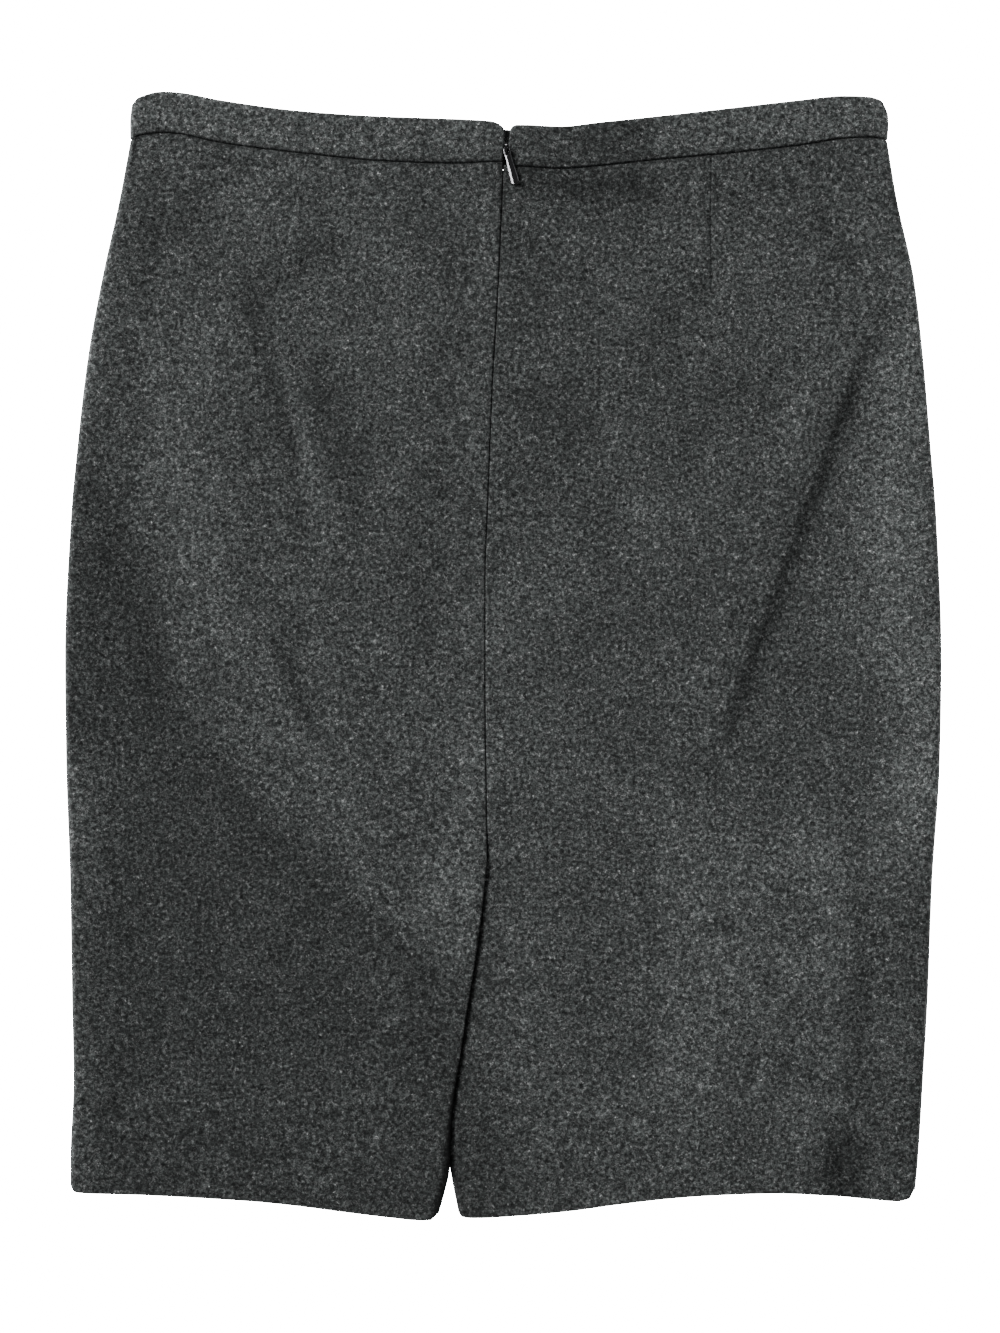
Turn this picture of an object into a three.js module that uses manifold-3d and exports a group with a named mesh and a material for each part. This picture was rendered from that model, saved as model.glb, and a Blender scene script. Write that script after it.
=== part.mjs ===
// A knee-length pencil skirt in thick wool flannel, lying flat with its back upwards.
// Units are millimetres. +X is to the right of the lying skirt, +Y towards the waist, +Z up.
// The origin is on the surface that it lies on, under the middle of its outline.

import * as THREE from "three";
import { mergeVertices } from "three/addons/utils/BufferGeometryUtils.js";
import Module from "manifold-3d";

// Driving dimensions of the cloth
const CLOTH = 1.4;
const HEM_PLIES = 2.2;
const BAND_PLIES = 2.2;
const SEAM_GAP = 0.3;
const NOSE = 0.8;
const NOSE_SHARE = 0.45;
const SIDE_RADIUS = 3.2;
const HEM_DEPTH = 46;
const HEM_STEP = 14;

// How the layers lie on each other
const LAYER_GAP = 1.2;
const HEM_LAYER_GAP = 0.4;
const LEAST_GAP = 0.35;
const MOST_GAP = 3.6;
const SIDE_FADE = 34;
const WAIST_FADE = 30;
const BAND_PROUD = 0.9;
const BAND_TOP = 6.4;
const ZIP_BULGE = 1.2;
const ZIP_BULGE_WIDTH = 22;
const FRONT_DIP = 3;
const NOTCH_REACH = 8;
const DROOP_START = 5;
const HEM_DROOP = 24;

// Centre-back vent
const VENT_TOP = -113;
const VENT_SLANT = 8;
const VENT_RISE = 26;
const PRESSED_WIDTH = 14;
const UNDERLAP_GAP = 0.45;
const VENT_LAYER_GAP = 0.35;

// Concealed zip
const ZIP_LENGTH = 205;
const ZIP_TOP = 286;
const TAPE_WIDTH = 10;
const TAPE_THICKNESS = 0.6;
const TAPE_INSET = 0.9;
const SLIDER = { x: 1.5, y: 278.4, width: 5.6, length: 8, thickness: 1.7, bottom: 2.5 };
const NECK = { width: 1, length: 4.4 };
const ARCH = { width: 0.9, reach: 2.1, opening: 1.3, thickness: 0.7 };
const PULL = { length: 20.4, thickness: 0.8, eye: 3.9, waist: 3.4, end: 5.2, hole: 2.5, slot: 3.2 };
const PULL_SWING = THREE.MathUtils.degToRad(14.5);
const PULL_SLOPE = THREE.MathUtils.degToRad(4);
const PIVOT_HEIGHT = 8.9;

// Fineness of the grids
const EDGE_COLUMNS = 6;
const BODY_COLUMNS = 21;
const ROLL_COLUMNS = 3;
const ROW_STEP = 13.5;
const FRONT_COLUMNS = 20;
const FRONT_ROWS = 12;
const TAPE_ROWS = 16;

// Outline of the sides, from the hem up to the waist seam
const SIDES = [
  { y: -300, left: -237.8, right: 225.6 },
  { y: -277, left: -237.8, right: 227.8 },
  { y: -233, left: -236.1, right: 230.6 },
  { y: -190, left: -236.9, right: 233.1 },
  { y: -123, left: -238, right: 235.7 },
  { y: -57, left: -240.2, right: 239.9 },
  { y: 0, left: -240.8, right: 240.8 },
  { y: 75, left: -237.6, right: 238 },
  { y: 119, left: -233.6, right: 234.5 },
  { y: 163, left: -228.4, right: 230.8 },
  { y: 207, left: -220.5, right: 225.7 },
  { y: 251, left: -210.8, right: 216.2 },
  { y: 282, left: -205, right: 211 },
];

// Hem of the back left panel, the back right panel and the front panel
const HEM_LEFT = [
  { x: -237.7, y: -291.2 },
  { x: -235.7, y: -294 },
  { x: -230, y: -294.8 },
  { x: -197, y: -296 },
  { x: -142, y: -299.2 },
  { x: -114, y: -302 },
  { x: -87, y: -305.6 },
  { x: -62, y: -308.6 },
  { x: -45, y: -310 },
  { x: -39, y: -309.6 },
  { x: -36.2, y: -306 },
];
const HEM_RIGHT = [
  { x: -24.6, y: -305.4 },
  { x: -22.5, y: -308.4 },
  { x: -16, y: -308.9 },
  { x: 9, y: -307.6 },
  { x: 37, y: -305 },
  { x: 64, y: -301.3 },
  { x: 92, y: -298 },
  { x: 119, y: -296 },
  { x: 150, y: -295 },
  { x: 174, y: -295.8 },
  { x: 202, y: -298.2 },
  { x: 216, y: -299.2 },
  { x: 222.8, y: -297.7 },
  { x: 225.6, y: -293.2 },
];
const HEM_FRONT = [
  { x: -237.7, y: -291.2 },
  { x: -234, y: -293 },
  { x: -190, y: -290.5 },
  { x: -120, y: -284 },
  { x: -40, y: -278.6 },
  { x: 40, y: -278 },
  { x: 120, y: -284 },
  { x: 190, y: -291.5 },
  { x: 219, y: -296 },
  { x: 225.6, y: -293.2 },
];

// Waistband of the back: its seam to the skirt and its top edge, for each half
const WAIST_LEFT = [
  { x: -204.4, seam: 283.4, top: 303 },
  { x: -200, seam: 286, top: 306.8 },
  { x: -187, seam: 287.4, top: 310 },
  { x: -178, seam: 286.8, top: 309.5 },
  { x: -156, seam: 282.1, top: 305.4 },
  { x: -112, seam: 276.4, top: 299.4 },
  { x: -68, seam: 272.1, top: 296.4 },
  { x: -24, seam: 270.6, top: 294.8 },
  { x: -7, seam: 271.4, top: 293.7 },
  { x: -4, seam: 271.4, top: 292.9 },
  { x: -1.4, seam: 271.3, top: 291.5 },
  { x: 0.2, seam: 271.2, top: 289.8 },
  { x: 1, seam: 271.2, top: 288.6 },
];
const WAIST_RIGHT = [
  { x: 1, seam: 269.6, top: 287 },
  { x: 3.9, seam: 269.4, top: 289.3 },
  { x: 5, seam: 269.3, top: 290.8 },
  { x: 7, seam: 269.1, top: 291.6 },
  { x: 12, seam: 268.8, top: 291.6 },
  { x: 31, seam: 267.7, top: 290.8 },
  { x: 53, seam: 269.3, top: 293.1 },
  { x: 75, seam: 271.7, top: 295.4 },
  { x: 116, seam: 275.5, top: 299.9 },
  { x: 163, seam: 280.6, top: 305.3 },
  { x: 187, seam: 284.3, top: 307.6 },
  { x: 200, seam: 285, top: 307.2 },
  { x: 207.5, seam: 284.2, top: 305 },
  { x: 211.4, seam: 283, top: 298.5 },
];
const BAND_ENDS = [
  { y: 268, left: -0.6, right: 1.5 },
  { y: 279, left: 0.3, right: 2.7 },
  { y: 284, left: 0.6, right: 3.3 },
  { y: 290, left: 0.2, right: 3.9 },
];
const BAND_SIDES = [
  { y: 282, left: -205, right: 211 },
  { y: 293, left: -205.1, right: 211.7 },
  { y: 305, left: -203.8, right: 210.4 },
];

// Centre-back seam, the free edge of the left flap, and the pressed edge and end of the underlap
const CENTRE_SEAM = [
  { y: -120, x: -8.7 },
  { y: -90, x: -9 },
  { y: -16, x: -9.9 },
  { y: 42, x: -9.9 },
  { y: 89, x: -8.2 },
  { y: 152, x: -5.7 },
  { y: 199, x: -2.9 },
  { y: 247, x: -0.7 },
  { y: 276, x: 0.4 },
];
const FLAP_EDGE = [
  { y: -309, x: -36.2 },
  { y: -294, x: -31.9 },
  { y: -281, x: -29.2 },
  { y: -267, x: -28.9 },
  { y: -207, x: -21.5 },
  { y: -152, x: -13 },
  { y: -113, x: -8.7 },
];
const PRESSED_EDGE = [
  { y: -309, x: 16.4 },
  { y: -281, x: 10.8 },
  { y: -200, x: 0.9 },
  { y: -113, x: -8.7 },
];
const UNDERLAP_END = [
  { y: -309, x: -24 },
  { y: -281, x: -29.3 },
  { y: -200, x: -39.2 },
  { y: -113, x: -49.4 },
];

// Largest folds of the back. A fold runs from its first point to its second, bowed to its own right,
// and a negative lean makes that side of it the steeper one. A negative height is a hollow.
const FOLDS = [
  { name: "right_seat", fromX: 199, fromY: 183, toX: 113, toY: -58, bow: 0, width: 11, height: 2.3, lean: 0.45, fadeIn: 0.16, fadeOut: 0.12 },
  { name: "right_hip", fromX: 160, fromY: 256, toX: 189, toY: 203, bow: 2, width: 9, height: 1.1, lean: 0.3, fadeIn: 0.4, fadeOut: 0.4 },
  { name: "left_seat", fromX: -146, fromY: 214, toX: -103, toY: 44, bow: -6, width: 8, height: -0.8, lean: 0, fadeIn: 0.2, fadeOut: 0.3 },
  { name: "left_inner_seat", fromX: -104, fromY: 160, toX: -71, toY: 62, bow: 3, width: 8, height: -0.75, lean: 0, fadeIn: 0.3, fadeOut: 0.3 },
  { name: "left_thigh", fromX: -116, fromY: 28, toX: -93, toY: -50, bow: 4, width: 11, height: -0.85, lean: -0.4, fadeIn: 0.25, fadeOut: 0.35 },
  { name: "left_drag", fromX: -172, fromY: 190, toX: -10, toY: -125, bow: 50, width: 30, height: 1.6, lean: -0.25, fadeIn: 0.2, fadeOut: 0.2 },
  { name: "left_flank", fromX: -160, fromY: 215, toX: -142, toY: -10, bow: 4, width: 24, height: 0.8, lean: 0, fadeIn: 0.3, fadeOut: 0.3 },
  { name: "left_of_seam", fromX: -33, fromY: 128, toX: -41, toY: -28, bow: 2, width: 10, height: -0.7, lean: 0, fadeIn: 0.25, fadeOut: 0.25 },
  { name: "right_thigh", fromX: 180, fromY: -46, toX: 194, toY: -255, bow: -4, width: 11, height: 1.6, lean: 0.3, fadeIn: 0.25, fadeOut: 0.3 },
  { name: "right_hem", fromX: 168, fromY: -225, toX: 178, toY: -303, bow: 0, width: 13, height: 2, lean: 0.4, fadeIn: 0.7, fadeOut: 0 },
  { name: "right_panel", fromX: 128, fromY: -80, toX: 134, toY: -303, bow: 0, width: 34, height: 0.9, lean: 0, fadeIn: 0.3, fadeOut: 0 },
  { name: "right_centre", fromX: 18, fromY: 172, toX: 62, toY: 88, bow: 0, width: 24, height: -0.6, lean: 0, fadeIn: 0.4, fadeOut: 0.4 },
];

// The least and the most of a value
const clamp = (value, low, high) => Math.min(high, Math.max(low, value));

const mix = (from, to, share) => from + (to - from) * share;

// A soft step from 0 at low to 1 at high
function softStep(low, high, value) {
  const t = clamp((value - low) / (high - low), 0, 1);
  return t * t * (3 - 2 * t);
}

// A soft hill of width 1 about 0
const hill = (x) => Math.exp(-x * x);

// A smooth line through the rows of a table, with column `to` given by column `from`, which rises
function lineThrough(rows, from, to) {
  const at = rows.map((row) => row[from]);
  const value = rows.map((row) => row[to]);
  const secant = at.slice(1).map((x, i) => (value[i + 1] - value[i]) / (x - at[i]));
  const slope = at.map((_, i) => {
    if (i === 0) return secant[0];
    if (i === at.length - 1) return secant[i - 1];
    const before = secant[i - 1];
    const after = secant[i];
    return before * after <= 0 ? 0 : (2 * before * after) / (before + after);
  });
  return (x) => {
    if (x <= at[0]) return value[0];
    if (x >= at[at.length - 1]) return value[at.length - 1];
    let i = 0;
    while (x > at[i + 1]) i += 1;
    const step = at[i + 1] - at[i];
    const t = (x - at[i]) / step;
    const rest = 1 - t;
    const ends = value[i] * rest * rest * (1 + 2 * t) + value[i + 1] * t * t * (3 - 2 * t);
    return ends + step * t * rest * (slope[i] * rest - slope[i + 1] * t);
  };
}

const sideLeft = lineThrough(SIDES, "y", "left");
const sideRight = lineThrough(SIDES, "y", "right");
const hemLeft = lineThrough(HEM_LEFT, "x", "y");
const hemRight = lineThrough(HEM_RIGHT, "x", "y");
const hemFront = lineThrough(HEM_FRONT, "x", "y");
const seamLeft = lineThrough(WAIST_LEFT, "x", "seam");
const seamRight = lineThrough(WAIST_RIGHT, "x", "seam");
const topLeft = lineThrough(WAIST_LEFT, "x", "top");
const topRight = lineThrough(WAIST_RIGHT, "x", "top");
const bandSideLeft = lineThrough(BAND_SIDES, "y", "left");
const bandSideRight = lineThrough(BAND_SIDES, "y", "right");
const bandEndLeft = lineThrough(BAND_ENDS, "y", "left");
const bandEndRight = lineThrough(BAND_ENDS, "y", "right");
const centreSeam = lineThrough(CENTRE_SEAM, "y", "x");
const flapEdge = lineThrough(FLAP_EDGE, "y", "x");
const pressedEdge = lineThrough(PRESSED_EDGE, "y", "x");
const underlapEnd = lineThrough(UNDERLAP_END, "y", "x");

const seamBack = (x) => (x < SLIDER.x ? seamLeft(x) : seamRight(x));

// The front's waist lies lower than the back's towards the middle and has no notch at the zip
const frontDip = (x) => FRONT_DIP * (1 - softStep(40, 200, Math.abs(x)));

function acrossNotch(x, left, right) {
  const share = 0.5 + (x - SLIDER.x) / (2 * NOTCH_REACH);
  if (share <= 0) return left(x);
  if (share >= 1) return right(x);
  return mix(left(SLIDER.x - NOTCH_REACH), right(SLIDER.x + NOTCH_REACH), share);
}

const seamFront = (x) => acrossNotch(x, seamLeft, seamRight) - frontDip(x);
const topFront = (x) => acrossNotch(x, topLeft, topRight) - frontDip(x);

// Thickness of a panel, doubled where its hem is turned up
function plies(x, y, hem) {
  const turned = 1 - softStep(HEM_DEPTH - HEM_STEP, HEM_DEPTH, y - hem(x));
  return mix(CLOTH, HEM_PLIES, turned);
}

// Height of what the back lies on: the front panel, and less and less of it past the front's hem
function support(x, y) {
  const past = softStep(DROOP_START, DROOP_START + HEM_DROOP, hemFront(x) - y);
  return plies(x, y, hemFront) * (1 - past);
}

// Height that the folds add at a point of the back
function foldHeight(x, y) {
  return FOLDS.reduce((sum, fold) => {
    const dx = fold.toX - fold.fromX;
    const dy = fold.toY - fold.fromY;
    const length = Math.hypot(dx, dy);
    const along = ((x - fold.fromX) * dx + (y - fold.fromY) * dy) / length ** 2;
    if (along <= 0) return sum;
    const t = Math.min(along, 1);
    const right = ((x - fold.fromX) * dy - (y - fold.fromY) * dx) / length;
    const across = right - 4 * fold.bow * t * (1 - t);
    const width = fold.width * (across > 0 ? 1 + fold.lean : 1 - fold.lean);
    const rise = softStep(0, fold.fadeIn, along);
    const fall = fold.fadeOut ? 1 - softStep(1 - fold.fadeOut, 1, along) : 1;
    return sum + fold.height * hill(across / width) * rise * fall;
  }, 0);
}

// Height of the waistband's top face on the back
const bandTop = (x) => BAND_TOP + ZIP_BULGE * hill((x - SLIDER.x) / ZIP_BULGE_WIDTH);

// 1 where the vent's layers are fully one over the other, and 0 above it
const ventShare = (y) => 1 - softStep(VENT_TOP + 2, VENT_TOP + VENT_RISE, y);

// Room left between the back and what it lies on, before the vent is counted
function freeGap(x, y, hem) {
  const turned = 1 - softStep(HEM_DEPTH - HEM_STEP, HEM_DEPTH, y - hem(x));
  const zip = 1.5 * hill((x - centreSeam(y)) / ZIP_BULGE_WIDTH) * softStep(60, 120, y);
  const level = mix(LAYER_GAP, HEM_LAYER_GAP, turned) + foldHeight(x, y) + zip;
  return clamp(level, LEAST_GAP, MOST_GAP);
}

// Room under the right panel, which dips where it passes under the left flap
function gapRight(x, y) {
  const near = 1 - softStep(4, PRESSED_WIDTH + 20, x - pressedEdge(y));
  return mix(freeGap(x, y, hemRight), UNDERLAP_GAP, ventShare(y) * near);
}

// Room under the left panel, which lies on the underlap beside the vent
function gapLeft(x, y) {
  const near = softStep(-44, -4, x - underlapEnd(y));
  const over = UNDERLAP_GAP + plies(x, y, hemRight) + VENT_LAYER_GAP;
  return mix(freeGap(x, y, hemLeft), over, ventShare(y) * near);
}

// The top face and thickness of a back panel at a point away from its rolled side
function backLevel(x, y, half) {
  const thick = plies(x, y, half.hem);
  const free = support(x, y) + half.gap(x, y) + thick;
  const inward = half.sign * (half.side(y) - x) - SIDE_RADIUS;
  const rolled = mix(2 * SIDE_RADIUS, free, softStep(0, SIDE_FADE, inward));
  const below = seamBack(x) - y;
  const top = mix(bandTop(x) - BAND_PROUD, rolled, softStep(0, WAIST_FADE, below));
  return { top, thick };
}

const LEFT = { sign: -1, side: sideLeft, hem: hemLeft, seam: seamLeft, gap: gapLeft };
const RIGHT = { sign: 1, side: sideRight, hem: hemRight, seam: seamRight, gap: gapRight };

// A closed wall from a grid of points in the middle of the cloth. Each has the direction in which its
// thickness points, in nx and nz, its thickness, and a share of it that narrows the wall at a free edge.
function wall(grid) {
  const rows = grid.length;
  const columns = grid[0].length;
  const position = [];
  for (const face of [0.5, -0.5]) {
    for (const row of grid) {
      for (const p of row) {
        const half = face * p.thick * p.share;
        position.push(p.x + half * p.nx, p.y, p.z + half * p.nz);
      }
    }
  }
  const under = rows * columns;
  const index = [];
  const quad = (a, b, c, d) => index.push(a, b, c, a, c, d);
  const at = (i, j) => i * columns + j;
  for (let i = 0; i < rows - 1; i += 1) {
    for (let j = 0; j < columns - 1; j += 1) {
      quad(at(i, j), at(i, j + 1), at(i + 1, j + 1), at(i + 1, j));
      quad(under + at(i, j), under + at(i + 1, j), under + at(i + 1, j + 1), under + at(i, j + 1));
    }
  }
  const border = [];
  for (let j = 0; j < columns - 1; j += 1) border.push(at(0, j));
  for (let i = 0; i < rows - 1; i += 1) border.push(at(i, columns - 1));
  for (let j = columns - 1; j > 0; j -= 1) border.push(at(rows - 1, j));
  for (let i = rows - 1; i > 0; i -= 1) border.push(at(i, 0));
  border.forEach((a, k) => {
    const b = border[(k + 1) % border.length];
    quad(a, under + a, under + b, b);
  });
  return closedGeometry(position, index);
}

// Six times the volume that a mesh encloses, which is negative if its faces point inwards
function signedVolume(position, index) {
  const corner = (i) => new THREE.Vector3().fromArray(position, 3 * i);
  let sum = 0;
  for (let i = 0; i < index.length; i += 3) {
    const [a, b, c] = [corner(index[i]), corner(index[i + 1]), corner(index[i + 2])];
    sum += a.dot(b.cross(c));
  }
  return sum;
}

// A geometry with its faces pointing outwards
function closedGeometry(position, index) {
  if (signedVolume(position, index) < 0) index.reverse();
  const geometry = new THREE.BufferGeometry();
  geometry.setAttribute("position", new THREE.Float32BufferAttribute(position, 3));
  geometry.setIndex(index);
  geometry.computeVertexNormals();
  return geometry;
}

// Shares from 0 to 1 in equal steps
const steps = (count) => Array.from({ length: count + 1 }, (_, i) => i / count);

// Angles of a rolled side, from its top to its seam at mid height
const rollAngles = steps(ROLL_COLUMNS).slice(1).map((share) => (share * Math.PI) / 2);

// The point of a rolled side. The wall ends level, half a seam gap from mid height.
function rollPoint(side, sign, angle, thick, radius, up) {
  const middle = radius - thick / 2;
  const seam = angle > Math.PI / 2 - 0.01;
  const lift = seam ? SEAM_GAP / 2 : middle * Math.cos(angle);
  return {
    x: side - sign * (radius - middle * Math.sin(angle)),
    z: radius + up * lift,
    nx: sign * Math.sin(angle),
    nz: seam ? 0 : up * Math.cos(angle),
  };
}

// Rows of the back's grid. Each gives its height from the heights of the hem and the waist seam.
function backRows() {
  const slant = VENT_TOP - VENT_SLANT;
  const turned = HEM_DEPTH - HEM_STEP;
  const count = (length) => Math.round(length / ROW_STEP);
  const belowVent = count(slant - HEM_DEPTH - hemRight(0));
  const aboveVent = count(seamRight(0) - WAIST_FADE - VENT_TOP);
  const rows = [(hem) => hem];
  steps(3).forEach((share) => rows.push((hem) => hem + mix(NOSE, turned, share)));
  steps(2).slice(1).forEach((share) => rows.push((hem) => hem + mix(turned, HEM_DEPTH, share)));
  steps(belowVent).slice(1).forEach((share) => rows.push((hem) => mix(hem + HEM_DEPTH, slant, share)));
  steps(3).slice(1).forEach((share) => rows.push(() => mix(slant, VENT_TOP, share)));
  steps(aboveVent).slice(1).forEach((share) => {
    rows.push((hem, waist) => mix(VENT_TOP, waist - WAIST_FADE, share));
  });
  steps(3).slice(1).forEach((share) => rows.push((hem, waist) => waist - mix(WAIST_FADE, NOSE, share)));
  rows.push((hem, waist) => waist);
  return rows;
}

// Where the right panel's left edge is: at the seam, then along the underlap's slanted top and end
function rightEdge(y) {
  const seam = centreSeam(y) + SEAM_GAP / 2;
  const share = clamp((VENT_TOP - y) / VENT_SLANT, 0, 1);
  return mix(seam, underlapEnd(y), share);
}

const leftEdge = (y) => (y > VENT_TOP ? centreSeam(y) : flapEdge(y)) - SEAM_GAP / 2;
const leftInner = (y) => leftEdge(y) - PRESSED_WIDTH;
const rightInner = (y) => (y > VENT_TOP ? centreSeam(y) : pressedEdge(y)) + PRESSED_WIDTH;

// Columns of one half of the back's grid, from its centre edge to the roll at its side
function backColumns(half, edge, inner, edgeColumns) {
  const rolled = (y) => half.side(y) - half.sign * SIDE_RADIUS;
  const columns = [{ share: NOSE_SHARE, x: edge }, { share: 1, x: (y) => edge(y) + half.sign * NOSE }];
  steps(edgeColumns).slice(1).forEach((share) => {
    columns.push({ share: 1, x: (y) => mix(edge(y) + half.sign * NOSE, inner(y), share) });
  });
  steps(BODY_COLUMNS).slice(1).forEach((share) => {
    columns.push({ share: 1, x: (y) => mix(inner(y), rolled(y), share) });
  });
  rollAngles.forEach((angle) => {
    columns.push({ share: 1, angle, x: (y) => rolled(y) + half.sign * SIDE_RADIUS * Math.sin(angle) });
  });
  return columns;
}

// Where a column meets a line that crosses it
function settle(column, line, start, shift) {
  let y = start;
  for (let turn = 0; turn < 6; turn += 1) y = line(column.x(y)) + shift;
  return y;
}

// One half of the back
function backPanel(half, columns) {
  const ends = columns.map((column) => ({
    hem: settle(column, half.hem, half.hem(column.x(-300)), 0),
    waist: settle(column, half.seam, half.seam(column.x(280)), -SEAM_GAP / 2),
  }));
  const rows = backRows();
  return wall(
    rows.map((row, i) =>
      columns.map((column, j) => {
        const y = row(ends[j].hem, ends[j].waist);
        const edgeRow = i === 0 || i === rows.length - 1;
        const share = column.share * (edgeRow ? NOSE_SHARE : 1);
        if (column.angle) {
          const thick = plies(column.x(y), y, half.hem);
          const roll = rollPoint(half.side(y), half.sign, column.angle, thick, SIDE_RADIUS, 1);
          return { ...roll, y, thick, share };
        }
        const x = column.x(y);
        const { top, thick } = backLevel(x, y, half);
        return { x, y, z: top - thick / 2, nx: 0, nz: 1, thick, share };
      }),
    ),
  );
}

// A grid that is rolled up at both sides, for the front panel and the front of the waistband
function frontGrid({ left, right, columns, rows, low, high, thickness, radius, noseShare }) {
  const spots = [];
  [...rollAngles].reverse().forEach((angle) => spots.push({ sign: -1, angle }));
  steps(columns).forEach((share) => spots.push({ share }));
  rollAngles.forEach((angle) => spots.push({ sign: 1, angle }));
  const across = (spot, y) => {
    if (spot.angle) {
      const side = spot.sign < 0 ? left(y) : right(y);
      return side - spot.sign * radius * (1 - Math.sin(spot.angle));
    }
    return mix(left(y) + radius, right(y) - radius, spot.share);
  };
  const ends = spots.map((spot) => {
    const column = { x: (y) => across(spot, y) };
    return { low: settle(column, low, -290, 0), high: settle(column, high, 280, 0) };
  });
  return rows.map((up, i) =>
    spots.map((spot, j) => {
      const y = mix(ends[j].low, ends[j].high, up);
      const x = across(spot, y);
      const thick = thickness(x, y);
      const share = i === 0 || i === rows.length - 1 ? noseShare : 1;
      if (spot.angle) {
        const side = spot.sign < 0 ? left(y) : right(y);
        return { ...rollPoint(side, spot.sign, spot.angle, thick, radius, -1), y, thick, share };
      }
      return { x, y, z: thick / 2, nx: 0, nz: 1, thick, share };
    }),
  );
}

function frontPanel() {
  const length = seamFront(0) - hemFront(0);
  const rows = [0, NOSE, HEM_DEPTH - HEM_STEP, HEM_DEPTH].map((distance) => distance / length);
  steps(FRONT_ROWS).slice(1, -1).forEach((share) => rows.push(mix(HEM_DEPTH / length, 1, share)));
  rows.push(1 - NOSE / length, 1);
  return wall(
    frontGrid({
      left: sideLeft,
      right: sideRight,
      columns: FRONT_COLUMNS,
      rows,
      low: hemFront,
      high: (x) => seamFront(x) - SEAM_GAP / 2,
      thickness: (x, y) => plies(x, y, hemFront),
      radius: SIDE_RADIUS,
      noseShare: NOSE_SHARE,
    }),
  );
}

const BAND_HEIGHT = 22.5;
const bandRows = [0, NOSE / BAND_HEIGHT, 0.5, 1 - NOSE / BAND_HEIGHT, 1];

function waistbandFront() {
  return wall(
    frontGrid({
      left: bandSideLeft,
      right: bandSideRight,
      columns: FRONT_COLUMNS,
      rows: bandRows,
      low: (x) => seamFront(x) + SEAM_GAP / 2,
      high: topFront,
      thickness: () => BAND_PLIES,
      radius: BAND_TOP / 2,
      noseShare: NOSE_SHARE,
    }),
  );
}

// Half of the waistband's back, from its end at the zip to its side, in line with its panel's columns
function waistbandBack(half, panelColumns, side, end, top) {
  const radius = BAND_TOP / 2;
  const { sign, seam } = half;
  const columns = [{ share: NOSE_SHARE, x: end }, { share: 1, x: (y) => end(y) + sign * NOSE }];
  panelColumns.forEach(({ angle, x }) => {
    const waist = settle({ x }, seam, 280, 0);
    const spot = x(waist);
    if (angle) columns.push({ share: 1, angle, x: (y) => side(y) - sign * radius * (1 - Math.sin(angle)) });
    else if (sign * (spot - end(waist)) > 2 * NOSE) columns.push({ share: 1, x: () => spot });
  });
  return wall(
    bandRows.map((up, i) =>
      columns.map((column) => {
        const share = column.share * (i === 0 || i === bandRows.length - 1 ? NOSE_SHARE : 1);
        const line = (x) => mix(seam(x) + SEAM_GAP / 2, top(x), up);
        const y = settle(column, line, 280, 0);
        const thick = BAND_PLIES;
        if (column.angle) return { ...rollPoint(side(y), sign, column.angle, thick, radius, 1), y, thick, share };
        const x = column.x(y);
        return { x, y, z: bandTop(x) - thick / 2, nx: 0, nz: 1, thick, share };
      }),
    ),
  );
}

// Middle of the zip at a height
const zipLine = (y) => (y > 268 ? (bandEndLeft(y) + bandEndRight(y)) / 2 : centreSeam(y));

// Underside of the back, where the zip's tapes are sewn on
function underside(x, y, half) {
  if (y > seamBack(x)) return bandTop(x) - BAND_PLIES;
  const { top, thick } = backLevel(x, y, half);
  return top - thick;
}

// One of the zip's tapes, just under the back
function zipTape(half) {
  return wall(
    steps(TAPE_ROWS).map((share) => {
      const y = mix(ZIP_TOP - ZIP_LENGTH, ZIP_TOP, share);
      return steps(2).map((over) => {
        const x = zipLine(y) + half.sign * mix(TAPE_INSET, TAPE_WIDTH, over);
        const z = underside(x, y, half) - SEAM_GAP - TAPE_THICKNESS / 2;
        return { x, y, z, nx: 0, nz: 1, thick: TAPE_THICKNESS, share: 1 };
      });
    }),
  );
}

const wasm = await Module();
wasm.setup();

// A closed three.js geometry as a solid that can be joined
function solid(geometry) {
  const bare = geometry.clone();
  bare.deleteAttribute("normal");
  bare.deleteAttribute("uv");
  const merged = mergeVertices(bare, 1e-4);
  return new wasm.Manifold(
    new wasm.Mesh({
      numProp: 3,
      vertProperties: merged.attributes.position.array,
      triVerts: new Uint32Array(merged.index.array),
    }),
  );
}

// A joined solid as a three.js geometry
function geometryOf(joined) {
  const mesh = joined.getMesh();
  const geometry = new THREE.BufferGeometry();
  geometry.setAttribute("position", new THREE.BufferAttribute(mesh.vertProperties, 3));
  geometry.setIndex(new THREE.BufferAttribute(mesh.triVerts, 1));
  geometry.computeVertexNormals();
  return geometry;
}

const box = (width, depth, height, x, y, z) =>
  new THREE.BoxGeometry(width, depth, height).translate(x, y, z);

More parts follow.
